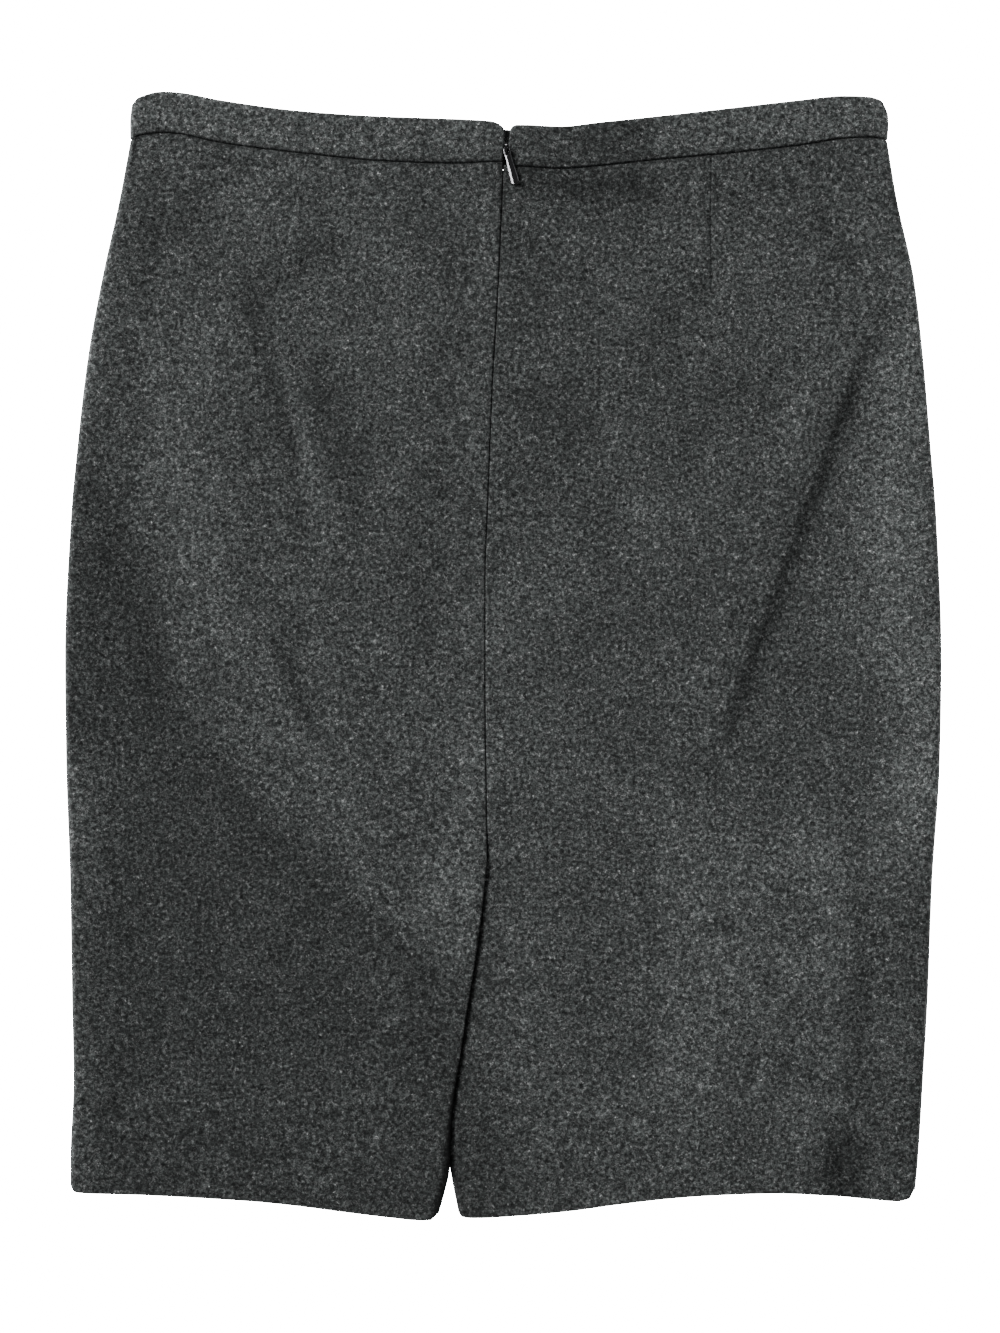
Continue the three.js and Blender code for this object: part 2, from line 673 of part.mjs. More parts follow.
// The slider's body inside, its neck between the band's ends, and the arch that the pull hangs on
function zipSlider() {
  const archFoot = PIVOT_HEIGHT - ARCH.opening / 2;
  const bodyTop = SLIDER.bottom + SLIDER.thickness;
  const middle = SLIDER.bottom + SLIDER.thickness / 2;
  const archTop = archFoot + ARCH.opening + ARCH.thickness;
  const body = box(SLIDER.width, SLIDER.length, SLIDER.thickness, 0, 0, middle);
  const overlap = 0.2;
  const neckHeight = archFoot - bodyTop + overlap;
  const neck = box(NECK.width, NECK.length, neckHeight, 0, 0, archFoot - neckHeight / 2);
  const opening = new THREE.Path();
  const inside = ARCH.opening / 2 + 0.65;
  opening.moveTo(-inside, 0);
  opening.lineTo(inside, 0);
  opening.lineTo(inside, ARCH.opening);
  opening.lineTo(-inside, ARCH.opening);
  const outline = new THREE.Shape();
  const chamfer = 0.5;
  outline.moveTo(-ARCH.reach, -overlap);
  outline.lineTo(ARCH.reach, -overlap);
  outline.lineTo(ARCH.reach, ARCH.opening + ARCH.thickness - chamfer);
  outline.lineTo(ARCH.reach - chamfer, ARCH.opening + ARCH.thickness);
  outline.lineTo(-ARCH.reach + chamfer, ARCH.opening + ARCH.thickness);
  outline.lineTo(-ARCH.reach, ARCH.opening + ARCH.thickness - chamfer);
  outline.holes.push(opening);
  const arch = new THREE.ExtrudeGeometry(outline, { depth: ARCH.width, bevelEnabled: false });
  arch.translate(0, 0, -ARCH.width / 2).rotateX(Math.PI / 2).rotateZ(Math.PI / 2);
  arch.translate(0, 0, archTop - ARCH.opening - ARCH.thickness);
  return geometryOf(solid(body).add(solid(neck)).add(solid(arch)));
}

// The pull: a flat drop with a slot at its top, drawn hanging down from its pivot
function zipPull() {
  const top = PULL.thickness / 2;
  const outline = new THREE.Shape();
  outline.moveTo(-PULL.eye / 2, top);
  outline.lineTo(PULL.eye / 2, top);
  outline.lineTo(PULL.eye / 2, -PULL.slot - 0.5);
  outline.lineTo(PULL.waist / 2, -PULL.slot - 2.2);
  outline.absarc(0, -PULL.length + PULL.end / 2, PULL.end / 2, 0, -Math.PI, true);
  outline.lineTo(-PULL.waist / 2, -PULL.slot - 2.2);
  outline.lineTo(-PULL.eye / 2, -PULL.slot - 0.5);
  const slot = new THREE.Path();
  slot.moveTo(-PULL.hole / 2, -PULL.thickness / 2);
  slot.lineTo(-PULL.hole / 2, -PULL.slot);
  slot.lineTo(PULL.hole / 2, -PULL.slot);
  slot.lineTo(PULL.hole / 2, -PULL.thickness / 2);
  outline.holes.push(slot);
  const drop = new THREE.ExtrudeGeometry(outline, { depth: PULL.thickness, bevelEnabled: false, curveSegments: 10 });
  return drop.translate(0, 0, -PULL.thickness / 2);
}

// Finishes
const flannel = new THREE.MeshStandardMaterial({ color: 0x3f4140, roughness: 0.95, metalness: 0 });
const tapeCloth = new THREE.MeshStandardMaterial({ color: 0x1a1b1c, roughness: 0.9, metalness: 0 });
const darkMetal = new THREE.MeshStandardMaterial({ color: 0x3a3a3d, roughness: 0.25, metalness: 0.9 });

const skirt = new THREE.Group();

function add(name, geometry, material) {
  const mesh = new THREE.Mesh(geometry, material);
  mesh.name = name;
  skirt.add(mesh);
  return mesh;
}

const columnsLeft = backColumns(LEFT, leftEdge, leftInner, EDGE_COLUMNS - 2);
const columnsRight = backColumns(RIGHT, rightEdge, rightInner, EDGE_COLUMNS);

add("front_panel", frontPanel(), flannel);
add("back_panel_left", backPanel(LEFT, columnsLeft), flannel);
add("back_panel_right", backPanel(RIGHT, columnsRight), flannel);
add("waistband_front", waistbandFront(), flannel);
add("waistband_back_left", waistbandBack(LEFT, columnsLeft, bandSideLeft, bandEndLeft, topLeft), flannel);
add("waistband_back_right", waistbandBack(RIGHT, columnsRight, bandSideRight, bandEndRight, topRight), flannel);
add("zip_tape_left", zipTape(LEFT), tapeCloth);
add("zip_tape_right", zipTape(RIGHT), tapeCloth);

const slider = add("zip_slider", zipSlider(), darkMetal);
slider.position.set(SLIDER.x, SLIDER.y, 0);

const pull = add("zip_pull", zipPull(), darkMetal);
pull.position.set(SLIDER.x, SLIDER.y, PIVOT_HEIGHT);
pull.rotation.order = "ZXY";
pull.rotation.set(PULL_SLOPE, 0, PULL_SWING);

export default skirt;
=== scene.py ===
"""Looks of a charcoal wool flannel pencil skirt that lies flat with its back up.

The tables below are in millimetres and repeat the sizes of the part's source. Meshes are in metres.
"""

import math

import bmesh
import bpy
import numpy as np
from mathutils import Matrix, Vector


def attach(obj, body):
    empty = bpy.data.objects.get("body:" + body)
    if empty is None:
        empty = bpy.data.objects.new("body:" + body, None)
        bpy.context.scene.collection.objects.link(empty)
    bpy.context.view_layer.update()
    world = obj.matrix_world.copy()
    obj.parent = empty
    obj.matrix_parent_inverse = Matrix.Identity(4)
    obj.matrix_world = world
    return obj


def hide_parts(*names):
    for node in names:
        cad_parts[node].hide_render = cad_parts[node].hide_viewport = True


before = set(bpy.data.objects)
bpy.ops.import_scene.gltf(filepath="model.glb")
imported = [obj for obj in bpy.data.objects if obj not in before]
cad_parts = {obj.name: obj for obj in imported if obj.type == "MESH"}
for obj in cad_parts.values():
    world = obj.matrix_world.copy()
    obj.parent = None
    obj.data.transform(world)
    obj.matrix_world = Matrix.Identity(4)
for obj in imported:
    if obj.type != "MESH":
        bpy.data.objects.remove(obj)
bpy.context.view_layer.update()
MM = 0.001
PHOTO_HEIGHT = 1333
MM_PER_PIXEL = 0.55

# Cloth and how its layers lie, as in the part's source
CLOTH = 1.4
HEM_PLIES = 2.2
BAND_PLIES = 2.2
SEAM_GAP = 0.3
SIDE_RADIUS = 3.2
HEM_DEPTH = 46
HEM_STEP = 14
LAYER_GAP = 1.2
HEM_LAYER_GAP = 0.4
LEAST_GAP = 0.35
MOST_GAP = 3.6
SIDE_FADE = 34
WAIST_FADE = 30
BAND_PROUD = 0.9
BAND_TOP = 6.4
ZIP_BULGE = 1.2
ZIP_BULGE_WIDTH = 22
FRONT_DIP = 3
NOTCH_REACH = 8
DROOP_START = 5
HEM_DROOP = 24
VENT_TOP = -113
VENT_SLANT = 8
VENT_RISE = 26
PRESSED_WIDTH = 14
UNDERLAP_GAP = 0.45
VENT_LAYER_GAP = 0.35
SLIDER_X, SLIDER_Y, PIVOT_HEIGHT = 1.5, 278.4, 8.9
PULL_LENGTH = 20.4
PULL_DOME = 0.55
PULL_SWING = math.radians(14.5)
PULL_SLOPE = math.radians(4)
ZIP_END = 83
BAND_LOWER_EDGE = 268
DART_TIP_LEFT, DART_TIP_RIGHT = 190, 197
HEM_RIDGE = 51

# How far a cut or folded edge is rounded, and a distance at which no edge is near
EDGE_RADIUS = 1.1
FAR = 9

# Outline and seams: each table is a set of named columns
SIDES = {
    "y": [-300, -277, -233, -190, -123, -57, 0, 75, 119, 163, 207, 251, 282],
    "left": [
        -237.8, -237.8, -236.1, -236.9, -238, -240.2, -240.8,
        -237.6, -233.6, -228.4, -220.5, -210.8, -205,
    ],
    "right": [225.6, 227.8, 230.6, 233.1, 235.7, 239.9, 240.8, 238, 234.5, 230.8, 225.7, 216.2, 211],
}
BAND_SIDES = {"y": [282, 293, 305], "left": [-205, -205.1, -203.8], "right": [211, 211.7, 210.4]}
BAND_ENDS = {"y": [268, 279, 284, 290], "left": [-0.6, 0.3, 0.6, 0.2], "right": [1.5, 2.7, 3.3, 3.9]}
HEM_LEFT = {
    "x": [-237.7, -235.7, -230, -197, -142, -114, -87, -62, -45, -39, -36.2],
    "y": [-291.2, -294, -294.8, -296, -299.2, -302, -305.6, -308.6, -310, -309.6, -306],
}
HEM_RIGHT = {
    "x": [-24.6, -22.5, -16, 9, 37, 64, 92, 119, 150, 174, 202, 216, 222.8, 225.6],
    "y": [
        -305.4, -308.4, -308.9, -307.6, -305, -301.3, -298,
        -296, -295, -295.8, -298.2, -299.2, -297.7, -293.2,
    ],
}
HEM_FRONT = {
    "x": [-237.7, -234, -190, -120, -40, 40, 120, 190, 219, 225.6],
    "y": [-291.2, -293, -290.5, -284, -278.6, -278, -284, -291.5, -296, -293.2],
}
WAIST_LEFT = {
    "x": [-204.4, -200, -187, -178, -156, -112, -68, -24, -7, -4, -1.4, 0.2, 1],
    "seam": [283.4, 286, 287.4, 286.8, 282.1, 276.4, 272.1, 270.6, 271.4, 271.4, 271.3, 271.2, 271.2],
    "top": [303, 306.8, 310, 309.5, 305.4, 299.4, 296.4, 294.8, 293.7, 292.9, 291.5, 289.8, 288.6],
}
WAIST_RIGHT = {
    "x": [1, 3.9, 5, 7, 12, 31, 53, 75, 116, 163, 187, 200, 207.5, 211.4],
    "seam": [269.6, 269.4, 269.3, 269.1, 268.8, 267.7, 269.3, 271.7, 275.5, 280.6, 284.3, 285, 284.2, 283],
    "top": [287, 289.3, 290.8, 291.6, 291.6, 290.8, 293.1, 295.4, 299.9, 305.3, 307.6, 307.2, 305, 298.5],
}
CENTRE_SEAM = {
    "y": [-120, -90, -16, 42, 89, 152, 199, 247, 276],
    "x": [-8.7, -9, -9.9, -9.9, -8.2, -5.7, -2.9, -0.7, 0.4],
}
FLAP_EDGE = {
    "y": [-309, -294, -281, -267, -207, -152, -113],
    "x": [-36.2, -31.9, -29.2, -28.9, -21.5, -13, -8.7],
}
PRESSED_EDGE = {"y": [-309, -281, -200, -113], "x": [16.4, 10.8, 0.9, -8.7]}
UNDERLAP_END = {"y": [-309, -281, -200, -113], "x": [-24, -29.3, -39.2, -49.4]}
DART_LEFT = {"y": [DART_TIP_LEFT, 200, 274], "x": [-125.6, -124.2, -108.5]}
DART_RIGHT = {"y": [DART_TIP_RIGHT, 240, 276], "x": [114.6, 113.9, 114.2]}

# Folds of the back that the solids have too: from one point to another, bowed to their own right
FOLDS = [
    # from x, y, to x, y, bow, width, height, lean, fade in, fade out
    (199, 183, 113, -58, 0, 11, 2.3, 0.45, 0.16, 0.12),
    (160, 256, 189, 203, 2, 9, 1.1, 0.3, 0.4, 0.4),
    (-146, 214, -103, 44, -6, 8, -0.8, 0, 0.2, 0.3),
    (-104, 160, -71, 62, 3, 8, -0.75, 0, 0.3, 0.3),
    (-116, 28, -93, -50, 4, 11, -0.85, -0.4, 0.25, 0.35),
    (-172, 190, -10, -125, 50, 30, 1.6, -0.25, 0.2, 0.2),
    (-160, 215, -142, -10, 4, 24, 0.8, 0, 0.3, 0.3),
    (-33, 128, -41, -28, 2, 10, -0.7, 0, 0.25, 0.25),
    (180, -46, 194, -255, -4, 11, 1.6, 0.3, 0.25, 0.3),
    (168, -225, 178, -303, 0, 13, 2, 0.4, 0.7, 0),
    (128, -80, 134, -303, 0, 34, 0.9, 0, 0.3, 0),
    (18, 172, 62, 88, 0, 24, -0.6, 0, 0.4, 0.4),
]

# Smaller creases and puckers, the same columns
CREASES = [
    (-133, 268.6, -158, 269.6, 0, 1.8, -0.5, 0, 0.3, 0.4),
    (-136, 261, -156, 259.4, 0, 2, -0.4, 0, 0.3, 0.4),
    (165, 268.4, 176, 267.6, 0, 1.6, -0.45, 0, 0.3, 0.4),
    (169, 259, 184, 256, 0, 2.2, -0.3, 0, 0.3, 0.4),
    (-199, 198, -197, 134, 3, 5, -0.35, 0, 0.3, 0.3),
    (-166, 244, -178, 222, 0, 5, -0.35, 0, 0.3, 0.4),
    (-86, 234, -118, 204, 0, 5, -0.35, 0, 0.3, 0.3),
    (80, 182, 70, 152, 0, 8, -0.35, 0, 0.4, 0.4),
    (150, -107, 221, -95, 3, 6, -0.3, 0, 0.3, 0.3),
    (-195, -138, -177, -245, 4, 8, -0.35, 0, 0.3, 0.3),
    (188, -262, 183, -296, 0, 6, -0.6, 0, 0.4, 0),
    (-112, -246, -86, -245, 0, 3, -0.25, 0, 0.4, 0.4),
    (-226, 146, -206, 142, 0, 3.4, -0.3, 0, 0.1, 0.5),
    (-222, 128, -204, 122, 0, 3.4, -0.25, 0, 0.1, 0.5),
    (224, 96, 206, 90, 0, 4, -0.3, 0, 0.1, 0.5),
    (-41, 8, -41, -19, 0, 5, -0.3, 0, 0.4, 0.4),
    (-33, 120, -40, 72, 0, 5, -0.25, 0, 0.3, 0.3),
    (28, 158, 49, 112, 0, 9, -0.3, 0, 0.3, 0.3),
    (-131, 214, -131, 196, 0, 5, -0.5, 0, 0.4, 0.4),
    (119, 208, 114, 186, 0, 6, -0.3, 0, 0.4, 0.4),
]

# Soft patches of painted shade, or of painted light if negative, the same columns
PAINTED_SHADING_PATCHES = [
    (-205, -60, -140, -245, 6, 30, 0.15, 0, 0.3, 0.3),
    (-200, 12, -188, -74, 0, 12, 0.35, 0, 0.3, 0.3),
    (-197, 196, -32, -148, 36, 15, -0.36, 0, 0.15, 0.15),
    (-206, 78, -180, -42, 2, 13, 0.6, 0, 0.25, 0.25),
    (-178, -44, -104, -112, 3, 12, 0.3, 0, 0.25, 0.25),
    (-86, -104, -40, -134, 0, 12, 0.45, 0, 0.3, 0.3),
    (-233, -30, -234, -296, 0, 13, -0.75, 0, 0.15, 0),
    (-219, 232, -230, 118, 2, 9, -1, 0, 0.15, 0.3),
    (-166, 200, -164, 130, 0, 12, -0.35, 0, 0.3, 0.3),
    (-162, 268, -178, 222, 0, 8, 0.6, 0, 0.3, 0.4),
    (-150, 262, -112, 228, 0, 12, -0.6, 0, 0.3, 0.3),
    (-144, 214, -113, 88, -3, 5, 1.1, 0, 0.2, 0.3),
    (-130, 184, -87, 50, 0, 4.5, -0.5, 0, 0.2, 0.25),
    (-107, 180, -74, 60, 0, 10, 1.2, 0, 0.3, 0.3),
    (-66, 252, -64, 148, 0, 16, -0.25, 0, 0.3, 0.3),
    (-30, 264, -34, 190, 0, 18, 0.3, 0, 0.2, 0.3),
    (-20, 254, -42, -12, 3, 11, 0.4, 0, 0.15, 0.3),
    (-30, 124, -44, -16, 0, 6, 0.45, 0, 0.3, 0.2),
    (-126, 24, -96, -58, 3, 5, 1, 0, 0.25, 0.2),
    (-84, 234, -132, 202, 0, 7, 0.6, 0, 0.2, 0.2),
    (-8, 76, -6, -84, 0, 22, -0.35, 0, 0.3, 0.2),
    (-10, -30, -44, -176, 0, 16, -0.8, 0, 0.2, 0.3),
    (-11, -98, -24, -176, 0, 8, -0.8, 0, 0.3, 0.2),
    (-64, -258, -42, -300, 0, 14, 0.3, 0, 0.4, 0),
    (0, 264, 98, 260, 3, 9, 1.4, 0, 0.05, 0.3),
    (46, 262, 48, 176, 0, 38, 0.25, 0, 0.1, 0.5),
    (20, 152, 50, 103, 0, 15, 0.9, 0, 0.3, 0.3),
    (60, 84, 92, 66, 0, 11, -0.45, 0, 0.3, 0.3),
    (94, 196, 70, 148, 0, 8, 0.55, 0, 0.3, 0.3),
    (102, 152, 140, 146, 0, 10, 0.6, 0, 0.3, 0.3),
    (163, 256, 198, 202, 0, 6, 0.45, 0, 0.2, 0.3),
    (146, 240, 168, 170, 0, 18, -0.3, 0, 0.3, 0.3),
    (212, 202, 111, -66, 0, 5, 1.15, -0.4, 0.08, 0.3),
    (196, 184, 100, -66, 0, 9, 0.45, 0, 0.25, 0.3),
    (230, 190, 206, -40, 6, 26, -0.9, 0, 0.15, 0.2),
    (216, 104, 208, 26, 0, 20, -0.35, 0, 0.3, 0.3),
    (233, 30, 231, -130, 0, 13, -1, 0, 0.3, 0.3),
    (221, 246, 232, 150, 0, 10, -0.9, 0, 0.2, 0.3),
    (206, 0, 128, -64, 0, 14, 0.15, 0, 0.3, 0.2),
    (4, -66, 114, -76, 0, 15, -0.35, 0, 0.25, 0.25),
    (222, -44, 206, -132, 0, 22, -0.8, 0, 0.3, 0.3),
    (146, -92, 204, -128, 0, 14, -0.35, 0, 0.3, 0.3),
    (222, -112, 222, -296, 0, 15, 0.4, 0, 0.2, 0),
    (190, -252, 186, -302, 0, 12, 2.3, 0, 0.5, 0),
    (189, -150, 194, -262, 0, 6, 0.5, 0, 0.3, 0.3),
    (-150, -250, -60, -296, 0, 40, -0.2, 0, 0.3, 0.3),
]

# Soft edge of a painted shadow: on its lower left side the cloth's colour is darker
PAINTED_SHADOW_EDGE = {
    "y": [-271, -199, -169, -149, -127, -105, -91, -52, -13, 11, 48, 72, 98, 114],
    "x": [15, -14, -25, -49, -73, -97, -122, -146, -178, -185, -195, -199, -212, -222],
}


def smooth_line(table, at, to):
    """A smooth line through two columns of a table, for arrays."""
    at = np.array(table[at], float)
    value = np.array(table[to], float)
    secant = np.diff(value) / np.diff(at)
    slope = np.empty_like(value)
    slope[0], slope[-1] = secant[0], secant[-1]
    before, after = secant[:-1], secant[1:]
    turning = before * after <= 0
    slope[1:-1] = np.where(turning, 0, 2 * before * after / np.where(turning, 1, before + after))

    def line(x):
        x = np.clip(np.asarray(x, float), at[0], at[-1])
        i = np.clip(np.searchsorted(at, x, side="right") - 1, 0, len(at) - 2)
        step = at[i + 1] - at[i]
        t = (x - at[i]) / step
        rest = 1 - t
        ends = value[i] * rest**2 * (1 + 2 * t) + value[i + 1] * t**2 * (3 - 2 * t)
        return ends + step * t * rest * (slope[i] * rest - slope[i + 1] * t)

    return line


side_left, side_right = smooth_line(SIDES, "y", "left"), smooth_line(SIDES, "y", "right")
band_side_left, band_side_right = smooth_line(BAND_SIDES, "y", "left"), smooth_line(BAND_SIDES, "y", "right")
band_end_left, band_end_right = smooth_line(BAND_ENDS, "y", "left"), smooth_line(BAND_ENDS, "y", "right")
hem_left, hem_right = smooth_line(HEM_LEFT, "x", "y"), smooth_line(HEM_RIGHT, "x", "y")
hem_front = smooth_line(HEM_FRONT, "x", "y")
seam_left, seam_right = smooth_line(WAIST_LEFT, "x", "seam"), smooth_line(WAIST_RIGHT, "x", "seam")
top_left, top_right = smooth_line(WAIST_LEFT, "x", "top"), smooth_line(WAIST_RIGHT, "x", "top")
centre_seam = smooth_line(CENTRE_SEAM, "y", "x")
flap_edge = smooth_line(FLAP_EDGE, "y", "x")
pressed_edge = smooth_line(PRESSED_EDGE, "y", "x")
underlap_end = smooth_line(UNDERLAP_END, "y", "x")
dart_left, dart_right = smooth_line(DART_LEFT, "y", "x"), smooth_line(DART_RIGHT, "y", "x")
painted_shadow_edge = smooth_line(PAINTED_SHADOW_EDGE, "y", "x")


def soft_step(low, high, value):
    """0 at low and 1 at high, with high below low for a step down."""
    t = np.clip((value - low) / (high - low), 0, 1)
    return t * t * (3 - 2 * t)


def mix(a, b, share):
    return a + (b - a) * share


def hill(x):
    return np.exp(-x * x)


def front_dip(x):
    return FRONT_DIP * (1 - soft_step(40, 200, np.abs(x)))


def seam_back(x):
    return np.where(x < SLIDER_X, seam_left(x), seam_right(x))


def across_notch(x, left, right):
    """The line of the front, which has no notch at the zip."""
    share = np.clip(0.5 + (x - SLIDER_X) / (2 * NOTCH_REACH), 0, 1)
    bridge = mix(left(SLIDER_X - NOTCH_REACH), right(SLIDER_X + NOTCH_REACH), share)
    return np.where(share <= 0, left(x), np.where(share >= 1, right(x), bridge))


def seam_front(x):
    return across_notch(x, seam_left, seam_right) - front_dip(x)


def top_front(x):
    return across_notch(x, top_left, top_right) - front_dip(x)


def turned_up(x, y, hem):
    return 1 - soft_step(HEM_DEPTH - HEM_STEP, HEM_DEPTH, y - hem(x))


def plies(x, y, hem):
    return mix(CLOTH, HEM_PLIES, turned_up(x, y, hem))


def support(x, y):
    past = soft_step(DROOP_START, DROOP_START + HEM_DROOP, hem_front(x) - y)
    return plies(x, y, hem_front) * (1 - past)


def relief(rows, x, y):
    """Height that a table of folds adds."""
    total = np.zeros_like(x)
    for x1, y1, x2, y2, bow, width, height, lean, fade_in, fade_out in rows:
        dx, dy = x2 - x1, y2 - y1
        length = math.hypot(dx, dy)
        along = ((x - x1) * dx + (y - y1) * dy) / length**2
        t = np.clip(along, 0, 1)
        across = ((x - x1) * dy - (y - y1) * dx) / length - 4 * bow * t * (1 - t)
        wide = width * np.where(across > 0, 1 + lean, 1 - lean)
        rise = soft_step(0, fade_in, along)
        fall = 1 - soft_step(1 - fade_out, 1, along) if fade_out else 1.0
        total += np.where(along > 0, height * hill(across / wide) * rise * fall, 0)
    return total


def band_top(x):
    return BAND_TOP + ZIP_BULGE * hill((x - SLIDER_X) / ZIP_BULGE_WIDTH)


def vent_share(y):
    return 1 - soft_step(VENT_TOP + 2, VENT_TOP + VENT_RISE, y)


def free_gap(x, y, hem):
    zip_room = 1.5 * hill((x - centre_seam(y)) / ZIP_BULGE_WIDTH) * soft_step(60, 120, y)
    level = mix(LAYER_GAP, HEM_LAYER_GAP, turned_up(x, y, hem)) + relief(FOLDS, x, y) + zip_room
    return np.clip(level, LEAST_GAP, MOST_GAP)


def gap_right(x, y):
    near = 1 - soft_step(4, PRESSED_WIDTH + 20, x - pressed_edge(y))
    return mix(free_gap(x, y, hem_right), UNDERLAP_GAP, vent_share(y) * near)


def gap_left(x, y):
    near = soft_step(-44, -4, x - underlap_end(y))
    over = UNDERLAP_GAP + plies(x, y, hem_right) + VENT_LAYER_GAP
    return mix(free_gap(x, y, hem_left), over, vent_share(y) * near)


class Half:
    """One half of the back."""

    def __init__(self, sign, side, hem, seam, gap, dart, dart_tip, top, band_side, band_end):
        self.sign, self.side, self.hem, self.seam, self.gap = sign, side, hem, seam, gap
        self.dart, self.dart_tip = dart, dart_tip
        self.top, self.band_side, self.band_end = top, band_side, band_end


LEFT = Half(
    -1, side_left, hem_left, seam_left, gap_left, dart_left, DART_TIP_LEFT,
    top_left, band_side_left, band_end_left,
)
RIGHT = Half(
    1, side_right, hem_right, seam_right, gap_right, dart_right, DART_TIP_RIGHT,
    top_right, band_side_right, band_end_right,
)


def ripple(x, y, size, seed):
    """Slow unevenness of cloth between -1 and 1, from a few crossing waves."""
    total = np.zeros_like(x)
    chance = np.random.RandomState(seed)
    waves = 7
    for _ in range(waves):
        angle = chance.uniform(0, math.pi)
        length = size * chance.uniform(0.6, 1.6)
        phase = chance.uniform(0, 2 * math.pi)
        total += np.sin((x * math.cos(angle) + y * math.sin(angle)) * 2 * math.pi / length + phase)
    return total / waves


def panel_detail(x, y, half):
    """Fine relief on top of the solid's form: darts, pressed seams, hem line, creases and unevenness."""
    from_seam = half.sign * (x - centre_seam(y))
    pressed = 0.22 * (1 - soft_step(9.5, 11.5, from_seam)) * soft_step(VENT_TOP - 4, VENT_TOP + 4, y)
    at_dart = x - half.dart(y)
    tip = soft_step(half.dart_tip - 4, half.dart_tip + 16, y)
    valley = -0.2 * hill(at_dart / 0.7) * tip
    fold = 0.32 * tip * (1 - soft_step(7, 9.5, np.abs(at_dart))) * (half.sign * at_dart < 0)
    dimple = -0.55 * hill(np.hypot(at_dart / 7, (y - half.dart_tip - 6) / 15))
    hem_edge = y - half.hem(x) - HEM_RIDGE
    turned = 0.22 * (1 - soft_step(-1.2, 1.2, hem_edge)) + 0.1 * hill(hem_edge / 2.6)
    below = half.seam(x) - y
    waist = 0.18 * (1 - soft_step(8, 11, below)) - 0.3 * hill(below / 2.2)
    pucker = 0.1 * hill(from_seam / 7) * np.sin(y * 2 * math.pi / 17 + 1.3 * np.sin(y / 31))
    rough = 0.1 * ripple(x, y, 46, 11 + half.sign) + 0.03 * ripple(x, y, 13, 21 + half.sign)
    return pressed + valley + fold + dimple + turned + waist + pucker + rough + relief(CREASES, x, y)


def back_level(x, y, half, detail=True):
    """Top face and thickness of a back panel away from its rolled side."""
    thick = plies(x, y, half.hem)
    free = support(x, y) + half.gap(x, y) + thick
    inward = half.sign * (half.side(y) - x) - SIDE_RADIUS
    rolled = mix(2 * SIDE_RADIUS, free, soft_step(0, SIDE_FADE, inward))
    top = mix(band_top(x) - BAND_PROUD, rolled, soft_step(0, WAIST_FADE, seam_back(x) - y))
    if detail:
        added = panel_detail(x, y, half) * soft_step(-1, 9, inward)
        top = np.maximum(top + added, top - half.gap(x, y) + 0.12)
    return top, thick


def edge_nose(distance):
    """Share of the cloth's thickness at a distance from a folded edge, which is round."""
    t = np.clip(distance / EDGE_RADIUS, 0, 1)
    return np.maximum(0.12, np.sqrt(1 - (1 - t) ** 2))


def settle(x_of, line, start, rounds=8):
    y = np.full_like(x_of(np.array([start], float)), start) if np.isscalar(start) else start
    for _ in range(rounds):
        y = line(x_of(y))
    return y


def shell(name, points, normals, thick, attributes):
    """A closed cloth wall from a grid of points in the middle of the cloth, in millimetres."""
    rows, columns = points.shape[:2]
    bm = bmesh.new()
    spot = bm.verts.layers.int.new("spot")
    bmesh.ops.create_grid(bm, x_segments=columns - 1, y_segments=rows - 1, size=1)
    for k, v in enumerate(bm.verts):
        v[spot] = k
    extruded = bmesh.ops.extrude_face_region(bm, geom=bm.faces[:], use_keep_orig=True)
    under = {v for v in extruded["geom"] if isinstance(v, bmesh.types.BMVert)}
    half = normals * thick[..., None] / 2
    upper = ((points + half) * MM).reshape(-1, 3)
    lower = ((points - half) * MM).reshape(-1, 3)
    for v in bm.verts:
        v.co = lower[v[spot]] if v in under else upper[v[spot]]
    bmesh.ops.recalc_face_normals(bm, faces=bm.faces[:])
    if bm.calc_volume(signed=True) < 0:
        bmesh.ops.reverse_faces(bm, faces=bm.faces[:])
    mesh = bpy.data.meshes.new(name)
    for key in attributes:
        bm.verts.layers.float.new(key)
    for key, value in attributes.items():
        layer = bm.verts.layers.float[key]
        flat = value.reshape(-1)
        for v in bm.verts:
            v[layer] = flat[v[spot]]
    for f in bm.faces:
        f.smooth = True
    bm.to_mesh(mesh)
    bm.free()
    piece = bpy.data.objects.new(name, mesh)
    bpy.context.scene.collection.objects.link(piece)
    return piece


def spread(count):
    return np.linspace(0, 1, count + 1)


RIM = np.array([0, 0.08, 0.3, 0.65, EDGE_RADIUS])
ROLL = np.linspace(0, math.pi / 2, 9)[1:]

# Size of the mesh's cells, height of the finer rows at the hem, and about where the panels end
CELL = 2.3
FINE_ROWS = 56
HEM_LEVEL, PANEL_TOP = -300, 240


def rolled_points(points, normals, side, sign, angle, thick, radius, up):
    """Places the points of a column on a rolled side, which ends half a seam gap from mid height."""
    middle = radius - thick / 2
    level = angle > math.pi / 2 - 0.01
    points[..., 0] = side - sign * (radius - middle * math.sin(angle))
    points[..., 2] = radius + up * (SEAM_GAP / 2 if level else middle * math.cos(angle))
    normals[..., 0] = 0.94 * sign if level else sign * math.sin(angle)
    normals[..., 2] = 0.34 * up if level else up * math.cos(angle)


def painted_shading_at(x, y):
    """Painted shade where positive and painted light where negative: a painted shadow past its edge, weaker
    near the left side, a painted pale patch on the right and the soft patches.
    """
    past = painted_shadow_edge(y) - x
    area = soft_step(-6, 24, past) * soft_step(150, 80, y)
    strip = soft_step(46, 12, x + 238) * hill((y + 84) / 34)
    pale = soft_step(82, 88, x) * soft_step(200, 176, x) * soft_step(-70, -110, y)
    pale *= soft_step(-285, -215, y - 0.6 * (x - 95))
    return np.clip(area * (1 - 0.8 * strip) - 0.65 * pale + relief(PAINTED_SHADING_PATCHES, x, y), -1.3, 2.6)


